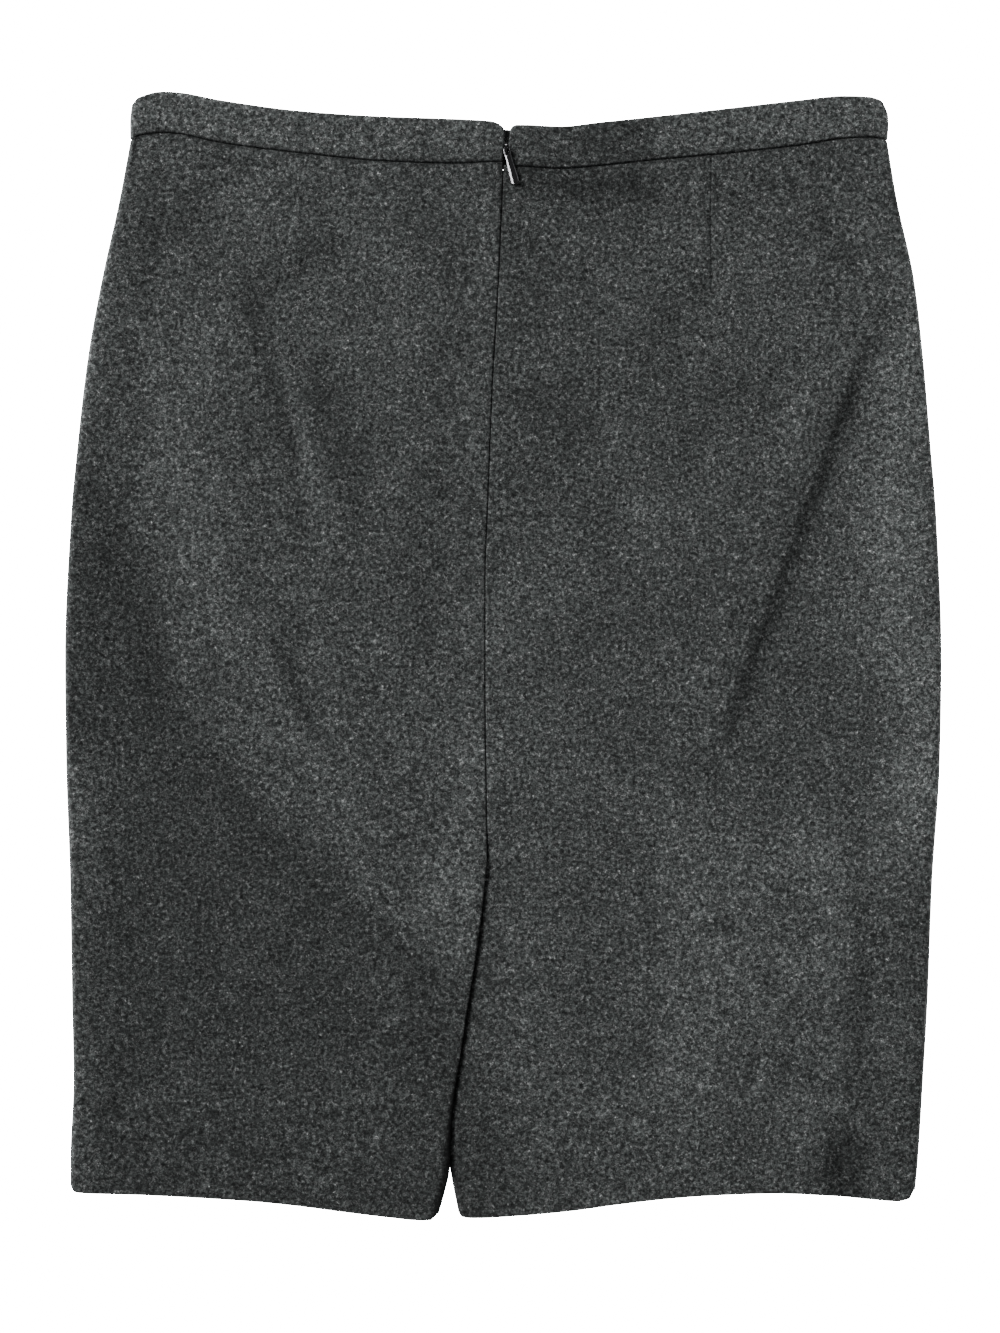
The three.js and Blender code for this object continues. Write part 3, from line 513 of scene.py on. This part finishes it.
def seam_shade(x, y, half):
    """Painted shade in the dart, along the waist seam and in the zip's slit, painted shade on the vent
    flap's edge and a painted shadow beside it.
    """
    at_dart = x - half.dart(y)
    tip = soft_step(half.dart_tip - 2, half.dart_tip + 14, y)
    # Painted shade in the right dart only, along the waist seam and in the zip's slit
    dart = 0.06 * hill(at_dart / 0.9) * tip * (half is RIGHT)
    waist = 0.5 * hill((half.seam(x) - y) / 1.6)
    slit_width = mix(0.9, 2.2, soft_step(225, 262, y))
    slit_shade = mix(0.2, 0.7, soft_step(150, 262, y)) * hill((x - centre_seam(y)) / slit_width)
    above_vent = np.maximum(np.maximum(dart, waist), slit_shade * (y > VENT_TOP))
    from_flap = x - flap_edge(y)
    # Left: painted shade on the flap's edge, widest near the hem; right: a painted shadow that the flap
    # would cast
    if half is LEFT:
        flap_edge_shade_width = mix(0.4, 3.6, soft_step(-205, -285, y))
        flap_edge_shade = 1.1 * soft_step(-205, -240, y) * soft_step(-1, 0.8, from_flap + flap_edge_shade_width)
        flap_shade = np.maximum(0.4 * hill(from_flap / 1.2), flap_edge_shade)
    else:
        shadow_width = mix(3.2, 1.2, soft_step(-200, -236, y))
        flap_shade = soft_step(-8, 0, from_flap) * soft_step(shadow_width, 0.5, from_flap)
    return np.maximum(above_vent, flap_shade * soft_step(VENT_TOP + 6, VENT_TOP - 30, y))


def back_piece(name, half, edge, inner, inner_count):
    rolled = lambda y: half.side(y) - half.sign * SIDE_RADIUS
    beside_dart = 3
    stitched = np.array([-beside_dart, -2, -1.3, -0.8, -0.4, 0, 0.4, 0.8, 1.3, 2, beside_dart])
    columns = [(RIM[k], lambda y, d=RIM[k]: edge(y) + half.sign * d) for k in range(len(RIM))]
    for s in spread(inner_count)[1:]:
        columns.append((FAR, lambda y, s=s: mix(edge(y) + half.sign * RIM[-1], inner(y), s)))
    to_dart = int(abs(half.dart(0) - inner(0)) / CELL)
    for s in spread(to_dart)[1:-1]:
        columns.append((FAR, lambda y, s=s: mix(inner(y), half.dart(y) - half.sign * beside_dart, s)))
    for d in stitched:
        columns.append((FAR, lambda y, d=d: half.dart(y) + half.sign * d))
    to_side = int(abs(rolled(0) - half.dart(0)) / CELL)
    for s in spread(to_side)[1:]:
        columns.append((FAR, lambda y, s=s: mix(half.dart(y) + half.sign * beside_dart, rolled(y), s)))
    for a in ROLL:
        columns.append((FAR, lambda y, a=a: rolled(y) + half.sign * SIDE_RADIUS * math.sin(a)))

    slant = VENT_TOP - VENT_SLANT
    hems = np.array([settle(c[1], half.hem, -300.0)[0] for c in columns])
    waists = np.array([settle(c[1], lambda x: half.seam(x) - SEAM_GAP / 2, 280.0)[0] for c in columns])
    rows, ends = [], []
    for d in RIM:
        rows.append(hems + d)
        ends.append(d)
    for s in spread(20)[1:]:
        rows.append(hems + mix(RIM[-1], FINE_ROWS, s))
    for s in spread(int((slant - FINE_ROWS - HEM_LEVEL) / CELL))[1:]:
        rows.append(mix(hems + FINE_ROWS, np.full_like(hems, slant), s))
    for s in spread(6)[1:]:
        rows.append(np.full_like(hems, mix(slant, VENT_TOP, s)))
    for s in spread(int((PANEL_TOP - VENT_TOP) / CELL))[1:]:
        rows.append(mix(np.full_like(hems, VENT_TOP), waists - WAIST_FADE, s))
    for s in spread(16)[1:]:
        rows.append(waists - mix(WAIST_FADE, RIM[-1], s))
    for d in RIM[-2::-1]:
        rows.append(waists - d)
    y = np.array(rows)
    ends += [FAR] * (len(rows) - 2 * len(RIM)) + list(RIM[::-1])
    x = np.stack([columns[j][1](y[:, j]) for j in range(len(columns))], axis=1)
    top, thick = back_level(x, y, half)
    full = thick.copy()
    thick = thick * edge_nose(np.array([c[0] for c in columns]))[None, :]
    thick = thick * edge_nose(np.array(ends))[:, None]
    points = np.stack([x, y, top - full / 2], axis=2)
    normals = np.zeros_like(points)
    normals[..., 2] = 1
    for j, a in enumerate(ROLL, start=len(columns) - len(ROLL)):
        side = half.side(y[:, j])
        rolled_points(points[:, j], normals[:, j], side, half.sign, a, full[:, j], SIDE_RADIUS, 1)
    # Vertex attributes: painted light and shade, and painted shade at seams and by the vent's flap
    attributes = {"painted_shading": painted_shading_at(x, y), "shade": seam_shade(x, y, half)}
    return shell(name, points, normals, thick, attributes)


def right_edge(y):
    share = np.clip((VENT_TOP - y) / VENT_SLANT, 0, 1)
    return mix(centre_seam(y) + SEAM_GAP / 2, underlap_end(y), share)


def right_inner(y):
    return np.where(y > VENT_TOP, centre_seam(y), pressed_edge(y)) + PRESSED_WIDTH


def left_edge(y):
    return np.where(y > VENT_TOP, centre_seam(y), flap_edge(y)) - SEAM_GAP / 2


def left_inner(y):
    return left_edge(y) - PRESSED_WIDTH


def closed_grid(name, left, right, low, high, columns, rows, thickness, radius, rise):
    """The front panel or the front of the waistband, rolled up at both sides."""
    spots = [(-1, a) for a in ROLL[::-1]] + [(0, s) for s in spread(columns)] + [(1, a) for a in ROLL]

    def across(spot, y):
        sign, value = spot
        if sign:
            side = left(y) if sign < 0 else right(y)
            return side - sign * radius * (1 - math.sin(value))
        return mix(left(y) + radius, right(y) - radius, value)

    lows = np.array([settle(lambda y: across(s, y), low, -290.0)[0] for s in spots])
    highs = np.array([settle(lambda y: across(s, y), high, 280.0)[0] for s in spots])
    middle = [mix(lows + RIM[-1], highs - RIM[-1], s) for s in spread(rows)[1:-1]]
    y = np.array([lows + d for d in RIM] + middle + [highs - d for d in RIM[::-1]])
    ends = np.array(list(RIM) + [FAR] * (rows - 1) + list(RIM[::-1]), float)
    x = np.stack([across(spots[j], y[:, j]) for j in range(len(spots))], axis=1)
    full = thickness(x, y)
    thick = full * edge_nose(ends)[:, None]
    points = np.stack([x, y, full / 2 + rise(x, y)], axis=2)
    normals = np.zeros_like(points)
    normals[..., 2] = 1
    for j, (sign, a) in enumerate(spots):
        if sign:
            side = left(y[:, j]) if sign < 0 else right(y[:, j])
            rolled_points(points[:, j], normals[:, j], side, sign, a, full[:, j], radius, -1)
    zero = np.zeros_like(x)
    return shell(name, points, normals, thick, {"painted_shading": zero, "shade": zero})


def band_piece(name, half):
    """Half of the waistband's back."""
    radius = BAND_TOP / 2
    rolled = half.band_side(292) - half.sign * radius
    columns = [(d, lambda y, d=d: half.band_end(y) + half.sign * d) for d in RIM]
    count = int(abs(rolled) / 2)
    first = lambda y: half.band_end(y) + half.sign * RIM[-1]
    last = lambda y: half.band_side(y) - half.sign * radius
    for s in spread(count)[1:]:
        columns.append((FAR, lambda y, s=s: mix(first(y), last(y), s)))
    for a in ROLL:
        columns.append((FAR, lambda y, a=a: half.band_side(y) - half.sign * radius * (1 - math.sin(a))))
    inside = spread(9)
    y = np.zeros((len(inside) + 2 * (len(RIM) - 1), len(columns)))
    ends = np.array(list(RIM) + [FAR] * (len(inside) - 2) + list(RIM[::-1]), float)
    for j, (_, x_of) in enumerate(columns):
        low = settle(x_of, lambda x: half.seam(x) + SEAM_GAP / 2, 275.0)[0]
        high = settle(x_of, half.top, 295.0)[0]
        middle = mix(low + RIM[-1], high - RIM[-1], inside[1:-1])
        y[:, j] = np.concatenate([low + RIM, middle, high - RIM[::-1]])
    x = np.stack([columns[j][1](y[:, j]) for j in range(len(columns))], axis=1)
    full = np.full_like(x, BAND_PLIES)
    wave = 0.16 * ripple(x, y, 38, 5 + half.sign) + 0.06 * ripple(x, y, 12, 8 + half.sign)
    inward = half.sign * (half.band_side(y) - x) - radius
    top = band_top(x) + wave * soft_step(0, 10, inward)
    thick = full * edge_nose(np.array([c[0] for c in columns]))[None, :] * edge_nose(ends)[:, None]
    points = np.stack([x, y, top - full / 2], axis=2)
    normals = np.zeros_like(points)
    normals[..., 2] = 1
    for j, a in enumerate(ROLL, start=len(columns) - len(ROLL)):
        side = half.band_side(y[:, j])
        rolled_points(points[:, j], normals[:, j], side, half.sign, a, full[:, j], radius, 1)
    # Painted shade along the waist seam; painted light over the band, and painted shade on its right half
    # near the zip
    shade = 0.5 * hill((y - half.seam(x)) / 1.4)
    near_zip = soft_step(100, 66, x) * soft_step(-6, 32, x) if half is RIGHT else 0
    painted_shading = mix(-0.4 - 0.3 * soft_step(80, 130, np.abs(x)), 0.9, near_zip)
    return shell(name, points, normals, thick, {"painted_shading": painted_shading, "shade": shade})


def front_rise(x, y):
    """Soft hollows pressed up into the front, none lower than the surface it lies on."""
    return np.maximum(0, 0.28 * ripple(x, y, 90, 3)) * soft_step(0, 30, y - hem_front(x))


front = closed_grid(
    "front_cloth", side_left, side_right, hem_front, lambda x: seam_front(x) - SEAM_GAP / 2,
    110, 120, lambda x, y: plies(x, y, hem_front), SIDE_RADIUS, front_rise,
)
band_front = closed_grid(
    "waistband_front_cloth", band_side_left, band_side_right,
    lambda x: seam_front(x) + SEAM_GAP / 2, top_front,
    150, 10, lambda x, y: np.full_like(x, BAND_PLIES), BAND_TOP / 2, lambda x, y: np.zeros_like(x),
)
back_left = back_piece("back_left_cloth", LEFT, left_edge, left_inner, 6)
back_right = back_piece("back_right_cloth", RIGHT, right_edge, right_inner, 24)
band_left = band_piece("waistband_back_left_cloth", LEFT)
band_right = band_piece("waistband_back_right_cloth", RIGHT)


def zip_line(y):
    return np.where(y > BAND_LOWER_EDGE, (band_end_left(y) + band_end_right(y)) / 2, centre_seam(y))


def zip_coil():
    """The closed coil between the tapes, as one mesh of small loops."""
    bm = bmesh.new()
    pitch = 1.35
    chain_length = 188
    wire_radius = 0.36
    below_cloth = 1.35
    level_in_band = 4.0
    for k in range(int(chain_length / pitch)):
        y = ZIP_END + k * pitch
        side = -1 if k % 2 else 1
        x = float(zip_line(np.array(y)))
        half = LEFT if side < 0 else RIGHT
        top, thick = back_level(np.array([x + side * 1.5]), np.array([y]), half, False)
        z = float((top - thick)[0]) - below_cloth if y < BAND_LOWER_EDGE else level_in_band
        loop = bmesh.ops.create_cone(
            bm, cap_ends=True, segments=6, radius1=wire_radius, radius2=wire_radius, depth=2.6
        )
        turn = Matrix.Rotation(math.pi / 2, 4, "Y")
        place = Matrix.Translation(Vector((x + side * 0.45, y, z)) * MM) @ turn @ Matrix.Scale(MM, 4)
        bmesh.ops.transform(bm, matrix=place, verts=loop["verts"])
    mesh = bpy.data.meshes.new("zip_coil")
    bm.to_mesh(mesh)
    bm.free()
    piece = bpy.data.objects.new("zip_coil", mesh)
    bpy.context.scene.collection.objects.link(piece)
    return piece


coil = zip_coil()


def pull_piece():
    """The drop-shaped pull with its eye and domed face, hinged at the slider's arch."""
    across = [-1, -0.88, -0.64, -0.42, -0.2, 0, 0.2, 0.42, 0.64, 0.88, 1]
    along = [0, 0.008, 0.02, 0.039, 0.08, 0.125, 0.173] + [0.2 + 0.05 * k for k in range(14)]
    along += [0.88, 0.91, 0.935, 0.955, 0.972, 0.985, 0.995, 1]
    half_thick, widest = 0.4, 2.4
    bm = bmesh.new()
    bmesh.ops.create_grid(bm, x_segments=len(across) - 1, y_segments=len(along) - 1, size=1)
    bm.verts.ensure_lookup_table()
    for k, v in enumerate(bm.verts):
        s, down = across[k % len(across)], along[k // len(across)]
        width = 1.9 + 0.5 * soft_step(0.35, 0.9, down) - 0.25 * hill((down - 0.32) / 0.12)
        round_top = math.sqrt(max(0.01, 1 - (1 - min(down / 0.045, 1)) ** 2))
        round_end = math.sqrt(max(0.01, 1 - (max(down - 0.88, 0) / 0.12) ** 2))
        v.co = (s * width * min(round_top, round_end), mix(0.4, -PULL_LENGTH, down), 0)
    middles = [(f, f.calc_center_median()) for f in bm.faces]
    eye = [f for f, middle in middles if abs(middle.x) < 1.2 and -3.2 < middle.y < -0.4]
    bmesh.ops.delete(bm, geom=eye, context="FACES")
    bmesh.ops.recalc_face_normals(bm, faces=bm.faces[:])
    lifted = bmesh.ops.extrude_face_region(bm, geom=bm.faces[:], use_keep_orig=True)
    moved = {v for v in lifted["geom"] if isinstance(v, bmesh.types.BMVert)}
    for v in bm.verts:
        v.co.z = half_thick + PULL_DOME * (1 - (v.co.x / widest) ** 2) if v in moved else -half_thick
    bmesh.ops.recalc_face_normals(bm, faces=bm.faces[:])
    rim = [e for e in bm.edges if len(e.link_faces) == 2 and e.calc_face_angle(0) > 0.9]
    bmesh.ops.bevel(
        bm, geom=rim, offset=0.12, offset_type="OFFSET", segments=2, profile=0.5, affect="EDGES", material=-1
    )
    for f in bm.faces:
        f.smooth = True
    place = Matrix.Translation(Vector((SLIDER_X, SLIDER_Y, PIVOT_HEIGHT)) * MM)
    turn = Matrix.Rotation(PULL_SWING, 4, "Z") @ Matrix.Rotation(PULL_SLOPE, 4, "X")
    bmesh.ops.transform(bm, matrix=place @ turn @ Matrix.Scale(MM, 4), verts=bm.verts[:])
    mesh = bpy.data.meshes.new("zip_pull_metal")
    bm.to_mesh(mesh)
    bm.free()
    piece = bpy.data.objects.new("zip_pull_metal", mesh)
    bpy.context.scene.collection.objects.link(piece)
    return piece


pull = pull_piece()


def melange_group():
    """Melange wool: dark ground, grey blotches of mixed wool and fine pale curled hairs, scaled by painted
    light and shade from two inputs.
    """
    group = bpy.data.node_groups.new("melange_wool", "ShaderNodeTree")
    face = group.interface
    for name, kind, value in (
        ("Painted Shading", "NodeSocketFloat", 0.0),
        ("Shade", "NodeSocketFloat", 0.0),
        ("Contrast", "NodeSocketFloat", 1.0),
    ):
        face.new_socket(name, in_out="INPUT", socket_type=kind).default_value = value
    for name, kind in (("Color", "NodeSocketColor"), ("Height", "NodeSocketFloat")):
        face.new_socket(name, in_out="OUTPUT", socket_type=kind)
    nodes, links = group.nodes, group.links
    inputs, outputs = nodes.new("NodeGroupInput"), nodes.new("NodeGroupOutput")
    place = nodes.new("ShaderNodeTexCoord")

    def noise(scale, detail, rough, distortion, shift, stretch=(1, 1, 1)):
        mapping = nodes.new("ShaderNodeMapping")
        mapping.inputs["Location"].default_value = shift
        mapping.inputs["Scale"].default_value = stretch
        links.new(place.outputs["Object"], mapping.inputs["Vector"])
        node = nodes.new("ShaderNodeTexNoise")
        node.inputs["Scale"].default_value = scale
        node.inputs["Detail"].default_value = detail
        node.inputs["Roughness"].default_value = rough
        node.inputs["Distortion"].default_value = distortion
        links.new(mapping.outputs["Vector"], node.inputs["Vector"])
        return node.outputs["Fac"]

    def maths(operation, a, b=None, clamp=False):
        node = nodes.new("ShaderNodeMath")
        node.operation = operation
        node.use_clamp = clamp
        for k, value in enumerate((a, b)):
            if value is None:
                continue
            if isinstance(value, (int, float)):
                node.inputs[k].default_value = value
            else:
                links.new(value, node.inputs[k])
        return node.outputs[0]

    def span(value, low, high, to_low, to_high, smooth=False):
        node = nodes.new("ShaderNodeMapRange")
        node.interpolation_type = "SMOOTHSTEP" if smooth else "LINEAR"
        for k, number in zip(("From Min", "From Max", "To Min", "To Max"), (low, high, to_low, to_high)):
            node.inputs[k].default_value = number
        links.new(value, node.inputs["Value"])
        return node.outputs["Result"]

    def strands(scale, shift, thin, stretch=(1, 1, 1), bend=1.6):
        line = noise(scale, 2.0, 0.5, bend, shift, stretch)
        near = maths("ABSOLUTE", maths("SUBTRACT", line, 0.5))
        return span(near, 0.0, thin, 1.0, 0.0, True)

    blotch = noise(520, 3.0, 0.62, 0.4, (0.31, 0.12, 0.05))
    speck = noise(1300, 2.0, 0.6, 0.0, (1.7, 0.4, 0.9))
    cloud = noise(36, 2.0, 0.5, 0.0, (3.1, 2.2, 0.7))
    long_hairs = strands(260, (5.2, 1.9, 0.2), 0.018)
    short_hairs = strands(330, (0.6, 7.3, 2.8), 0.014, (1.5, 0.8, 1))
    hairs = maths("MAXIMUM", long_hairs, short_hairs)
    patch = span(noise(410, 1.0, 0.5, 0.0, (9.4, 3.3, 4.1)), 0.46, 0.62, 0.0, 1.0, True)
    hairs = maths("MULTIPLY", hairs, patch)
    dark_hairs = maths("MULTIPLY", strands(290, (2.2, 4.4, 6.1), 0.02, (0.8, 1.4, 1)), 0.5)
    mottle = noise(150, 2.0, 0.55, 0.3, (6.3, 5.2, 8.7))
    pits = span(noise(640, 2.0, 0.55, 0.6, (4.1, 8.8, 2.3)), 0.3, 0.47, -0.75, 0.0, True)
    tone = maths("ADD", span(blotch, 0.3, 0.7, -0.8, 0.8), span(speck, 0.3, 0.7, -0.4, 0.4))
    tone = maths("ADD", tone, pits)
    tone = maths("ADD", tone, span(mottle, 0.3, 0.7, -0.11, 0.11))
    tone = maths("ADD", tone, span(cloud, 0.3, 0.7, -0.07, 0.07))
    tone = maths("ADD", tone, maths("MULTIPLY", hairs, 1.1))
    tone = maths("SUBTRACT", tone, maths("MULTIPLY", dark_hairs, 0.7))
    tone = maths("MULTIPLY", tone, inputs.outputs["Contrast"])
    gain = maths("EXPONENT", maths("MULTIPLY", tone, 1.45))
    # Painted light and shade, as a factor on the colour
    painted_shading = maths("EXPONENT", maths("MULTIPLY", inputs.outputs["Painted Shading"], -0.33))
    # Painted shade in seams, the dart, the zip's slit and by the vent's flap
    seam = maths("SUBTRACT", 1.0, maths("MULTIPLY", inputs.outputs["Shade"], 0.85))
    gain = maths("MULTIPLY", maths("MULTIPLY", gain, painted_shading), seam)
    tint = nodes.new("ShaderNodeMix")
    tint.data_type = "RGBA"
    tint.inputs["A"].default_value = (0.045, 0.0487, 0.048, 1)
    tint.inputs["B"].default_value = (0.0483, 0.0502, 0.0499, 1)
    links.new(patch, tint.inputs["Factor"])
    colour = nodes.new("ShaderNodeMix")
    colour.data_type = "RGBA"
    colour.blend_type = "MULTIPLY"
    colour.inputs["Factor"].default_value = 1.0
    links.new(tint.outputs["Result"], colour.inputs["A"])
    grey = nodes.new("ShaderNodeCombineColor")
    for channel in ("Red", "Green", "Blue"):
        links.new(gain, grey.inputs[channel])
    links.new(grey.outputs["Color"], colour.inputs["B"])
    height = maths("ADD", maths("MULTIPLY", blotch, 0.6), maths("MULTIPLY", speck, 0.4))
    height = maths("ADD", height, maths("MULTIPLY", hairs, 0.35))
    links.new(colour.outputs["Result"], outputs.inputs["Color"])
    links.new(height, outputs.inputs["Height"])
    return group


MELANGE = melange_group()


def principled(name):
    material = bpy.data.materials.new(name)
    material.use_nodes = True
    shader = material.node_tree.nodes["Principled BSDF"]
    return material, material.node_tree.nodes, material.node_tree.links, shader


def flannel(name):
    material, nodes, links, shader = principled(name)
    wool = nodes.new("ShaderNodeGroup")
    wool.node_tree = MELANGE
    # Painted light and shade, and painted shade, read from vertex attributes into the wool's colour
    for key, socket in (("painted_shading", "Painted Shading"), ("shade", "Shade")):
        read = nodes.new("ShaderNodeAttribute")
        read.attribute_name = key
        links.new(read.outputs["Fac"], wool.inputs[socket])
    bump = nodes.new("ShaderNodeBump")
    bump.inputs["Strength"].default_value = 0.6
    bump.inputs["Distance"].default_value = 0.0003
    links.new(wool.outputs["Height"], bump.inputs["Height"])
    links.new(bump.outputs["Normal"], shader.inputs["Normal"])
    links.new(wool.outputs["Color"], shader.inputs["Base Color"])
    shader.inputs["Roughness"].default_value = 0.95
    shader.inputs["Specular IOR Level"].default_value = 0.1
    shader.inputs["Sheen Weight"].default_value = 0.06
    shader.inputs["Sheen Roughness"].default_value = 0.5
    shader.inputs["Sheen Tint"].default_value = (0.8, 0.82, 0.82, 1)
    return material


def tape_weave():
    material, nodes, links, shader = principled("zip_tape_weave")
    place = nodes.new("ShaderNodeTexCoord")
    wave = nodes.new("ShaderNodeTexWave")
    wave.wave_type = "BANDS"
    wave.bands_direction = "Y"
    wave.inputs["Scale"].default_value = 900
    wave.inputs["Distortion"].default_value = 1.5
    links.new(place.outputs["Object"], wave.inputs["Vector"])
    ramp = nodes.new("ShaderNodeValToRGB")
    ramp.color_ramp.elements[0].color = (0.006, 0.006, 0.007, 1)
    ramp.color_ramp.elements[1].color = (0.016, 0.017, 0.018, 1)
    links.new(wave.outputs["Fac"], ramp.inputs["Fac"])
    links.new(ramp.outputs["Color"], shader.inputs["Base Color"])
    bump = nodes.new("ShaderNodeBump")
    bump.inputs["Strength"].default_value = 0.4
    bump.inputs["Distance"].default_value = 0.0002
    links.new(wave.outputs["Fac"], bump.inputs["Height"])
    links.new(bump.outputs["Normal"], shader.inputs["Normal"])
    shader.inputs["Roughness"].default_value = 0.8
    return material


def black_nickel():
    material, nodes, links, shader = principled("black_nickel")
    place = nodes.new("ShaderNodeTexCoord")
    noise = nodes.new("ShaderNodeTexNoise")
    noise.inputs["Scale"].default_value = 900
    noise.inputs["Detail"].default_value = 3
    links.new(place.outputs["Object"], noise.inputs["Vector"])
    ramp = nodes.new("ShaderNodeValToRGB")
    ramp.color_ramp.elements[0].color = (0.08, 0.08, 0.084, 1)
    ramp.color_ramp.elements[1].color = (0.14, 0.14, 0.145, 1)
    links.new(noise.outputs["Fac"], ramp.inputs["Fac"])
    links.new(ramp.outputs["Color"], shader.inputs["Base Color"])
    rough = nodes.new("ShaderNodeMapRange")
    rough.inputs["To Min"].default_value = 0.08
    rough.inputs["To Max"].default_value = 0.14
    links.new(noise.outputs["Fac"], rough.inputs["Value"])
    links.new(rough.outputs["Result"], shader.inputs["Roughness"])
    shader.inputs["Metallic"].default_value = 1.0
    return material


wool = flannel("charcoal_flannel")
tape = tape_weave()
nickel = black_nickel()

for piece in (front, band_front, back_left, back_right, band_left, band_right):
    piece.data.materials.append(wool)
coil.data.materials.append(tape)
pull.data.materials.append(nickel)
for node, material in (("zip_tape_left", tape), ("zip_tape_right", tape), ("zip_slider", nickel)):
    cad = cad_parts[node]
    cad.data.materials.clear()
    cad.data.materials.append(material)

for piece in (front, band_front, back_left, back_right, band_left, band_right, coil):
    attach(piece, "skirt")
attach(pull, "pull")
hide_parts("front_panel")
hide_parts("waistband_front")
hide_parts("back_panel_left")
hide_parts("back_panel_right")
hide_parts("waistband_back_left")
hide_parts("waistband_back_right")
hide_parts("zip_pull")


def studio():
    """Pale floor, a soft key from the upper left, a weak fill and the camera straight above."""
    bm = bmesh.new()
    bmesh.ops.create_grid(bm, x_segments=1, y_segments=1, size=4)
    bmesh.ops.translate(bm, vec=(0, 0, -0.0002), verts=bm.verts[:])
    mesh = bpy.data.meshes.new("floor")
    bm.to_mesh(mesh)
    bm.free()
    floor = bpy.data.objects.new("floor", mesh)
    bpy.context.scene.collection.objects.link(floor)
    floor_glow, extra_for_camera = 6, 30
    material, nodes, links, shader = principled("floor_white")
    shader.inputs["Base Color"].default_value = (0.9, 0.9, 0.9, 1)
    shader.inputs["Roughness"].default_value = 0.9
    shader.inputs["Specular IOR Level"].default_value = 0.1
    shader.inputs["Emission Color"].default_value = (1, 1, 1, 1)
    path = nodes.new("ShaderNodeLightPath")
    glow = nodes.new("ShaderNodeMath")
    glow.operation = "MULTIPLY_ADD"
    links.new(path.outputs["Is Camera Ray"], glow.inputs[0])
    glow.inputs[1].default_value = extra_for_camera
    glow.inputs[2].default_value = floor_glow
    links.new(glow.outputs[0], shader.inputs["Emission Strength"])
    mesh.materials.append(material)

    # Each light with its place, two diameters in metres and power in watts
    for name, place, size, wide, power in (
        ("key", (-6.15, 3.45, 3.9), 3.0, 3.0, 1150),
        ("fill", (2.3, 0.9, 1.15), 1.8, 1.8, 12),
        ("strip", (-1.08, -0.07, 2.35), 0.08, 1.3, 9),
    ):
        light = bpy.data.lights.new(name, "AREA")
        light.shape = "ELLIPSE"
        light.size = size
        light.size_y = wide
        light.energy = power
        lamp = bpy.data.objects.new(name, light)
        lamp.location = place
        lamp.rotation_euler = (-Vector(place)).to_track_quat("-Z", "Y").to_euler()
        bpy.context.scene.collection.objects.link(lamp)
    world = bpy.data.worlds.new("soft_room")
    world.use_nodes = True
    world.node_tree.nodes["Background"].inputs["Color"].default_value = (1, 1, 1, 1)
    world.node_tree.nodes["Background"].inputs["Strength"].default_value = 0.15
    bpy.context.scene.world = world

    distance = 2.4
    sensor = 24
    aim_x, aim_y = -1.8, -5.6
    data = bpy.data.cameras.new("photo_camera")
    data.sensor_fit = "VERTICAL"
    data.sensor_height = sensor
    data.lens = sensor * distance / (PHOTO_HEIGHT * MM_PER_PIXEL * MM)
    camera = bpy.data.objects.new("photo_camera", data)
    camera.location = (aim_x * MM, aim_y * MM, distance)
    bpy.context.scene.collection.objects.link(camera)
    bpy.context.scene.camera = camera


studio()
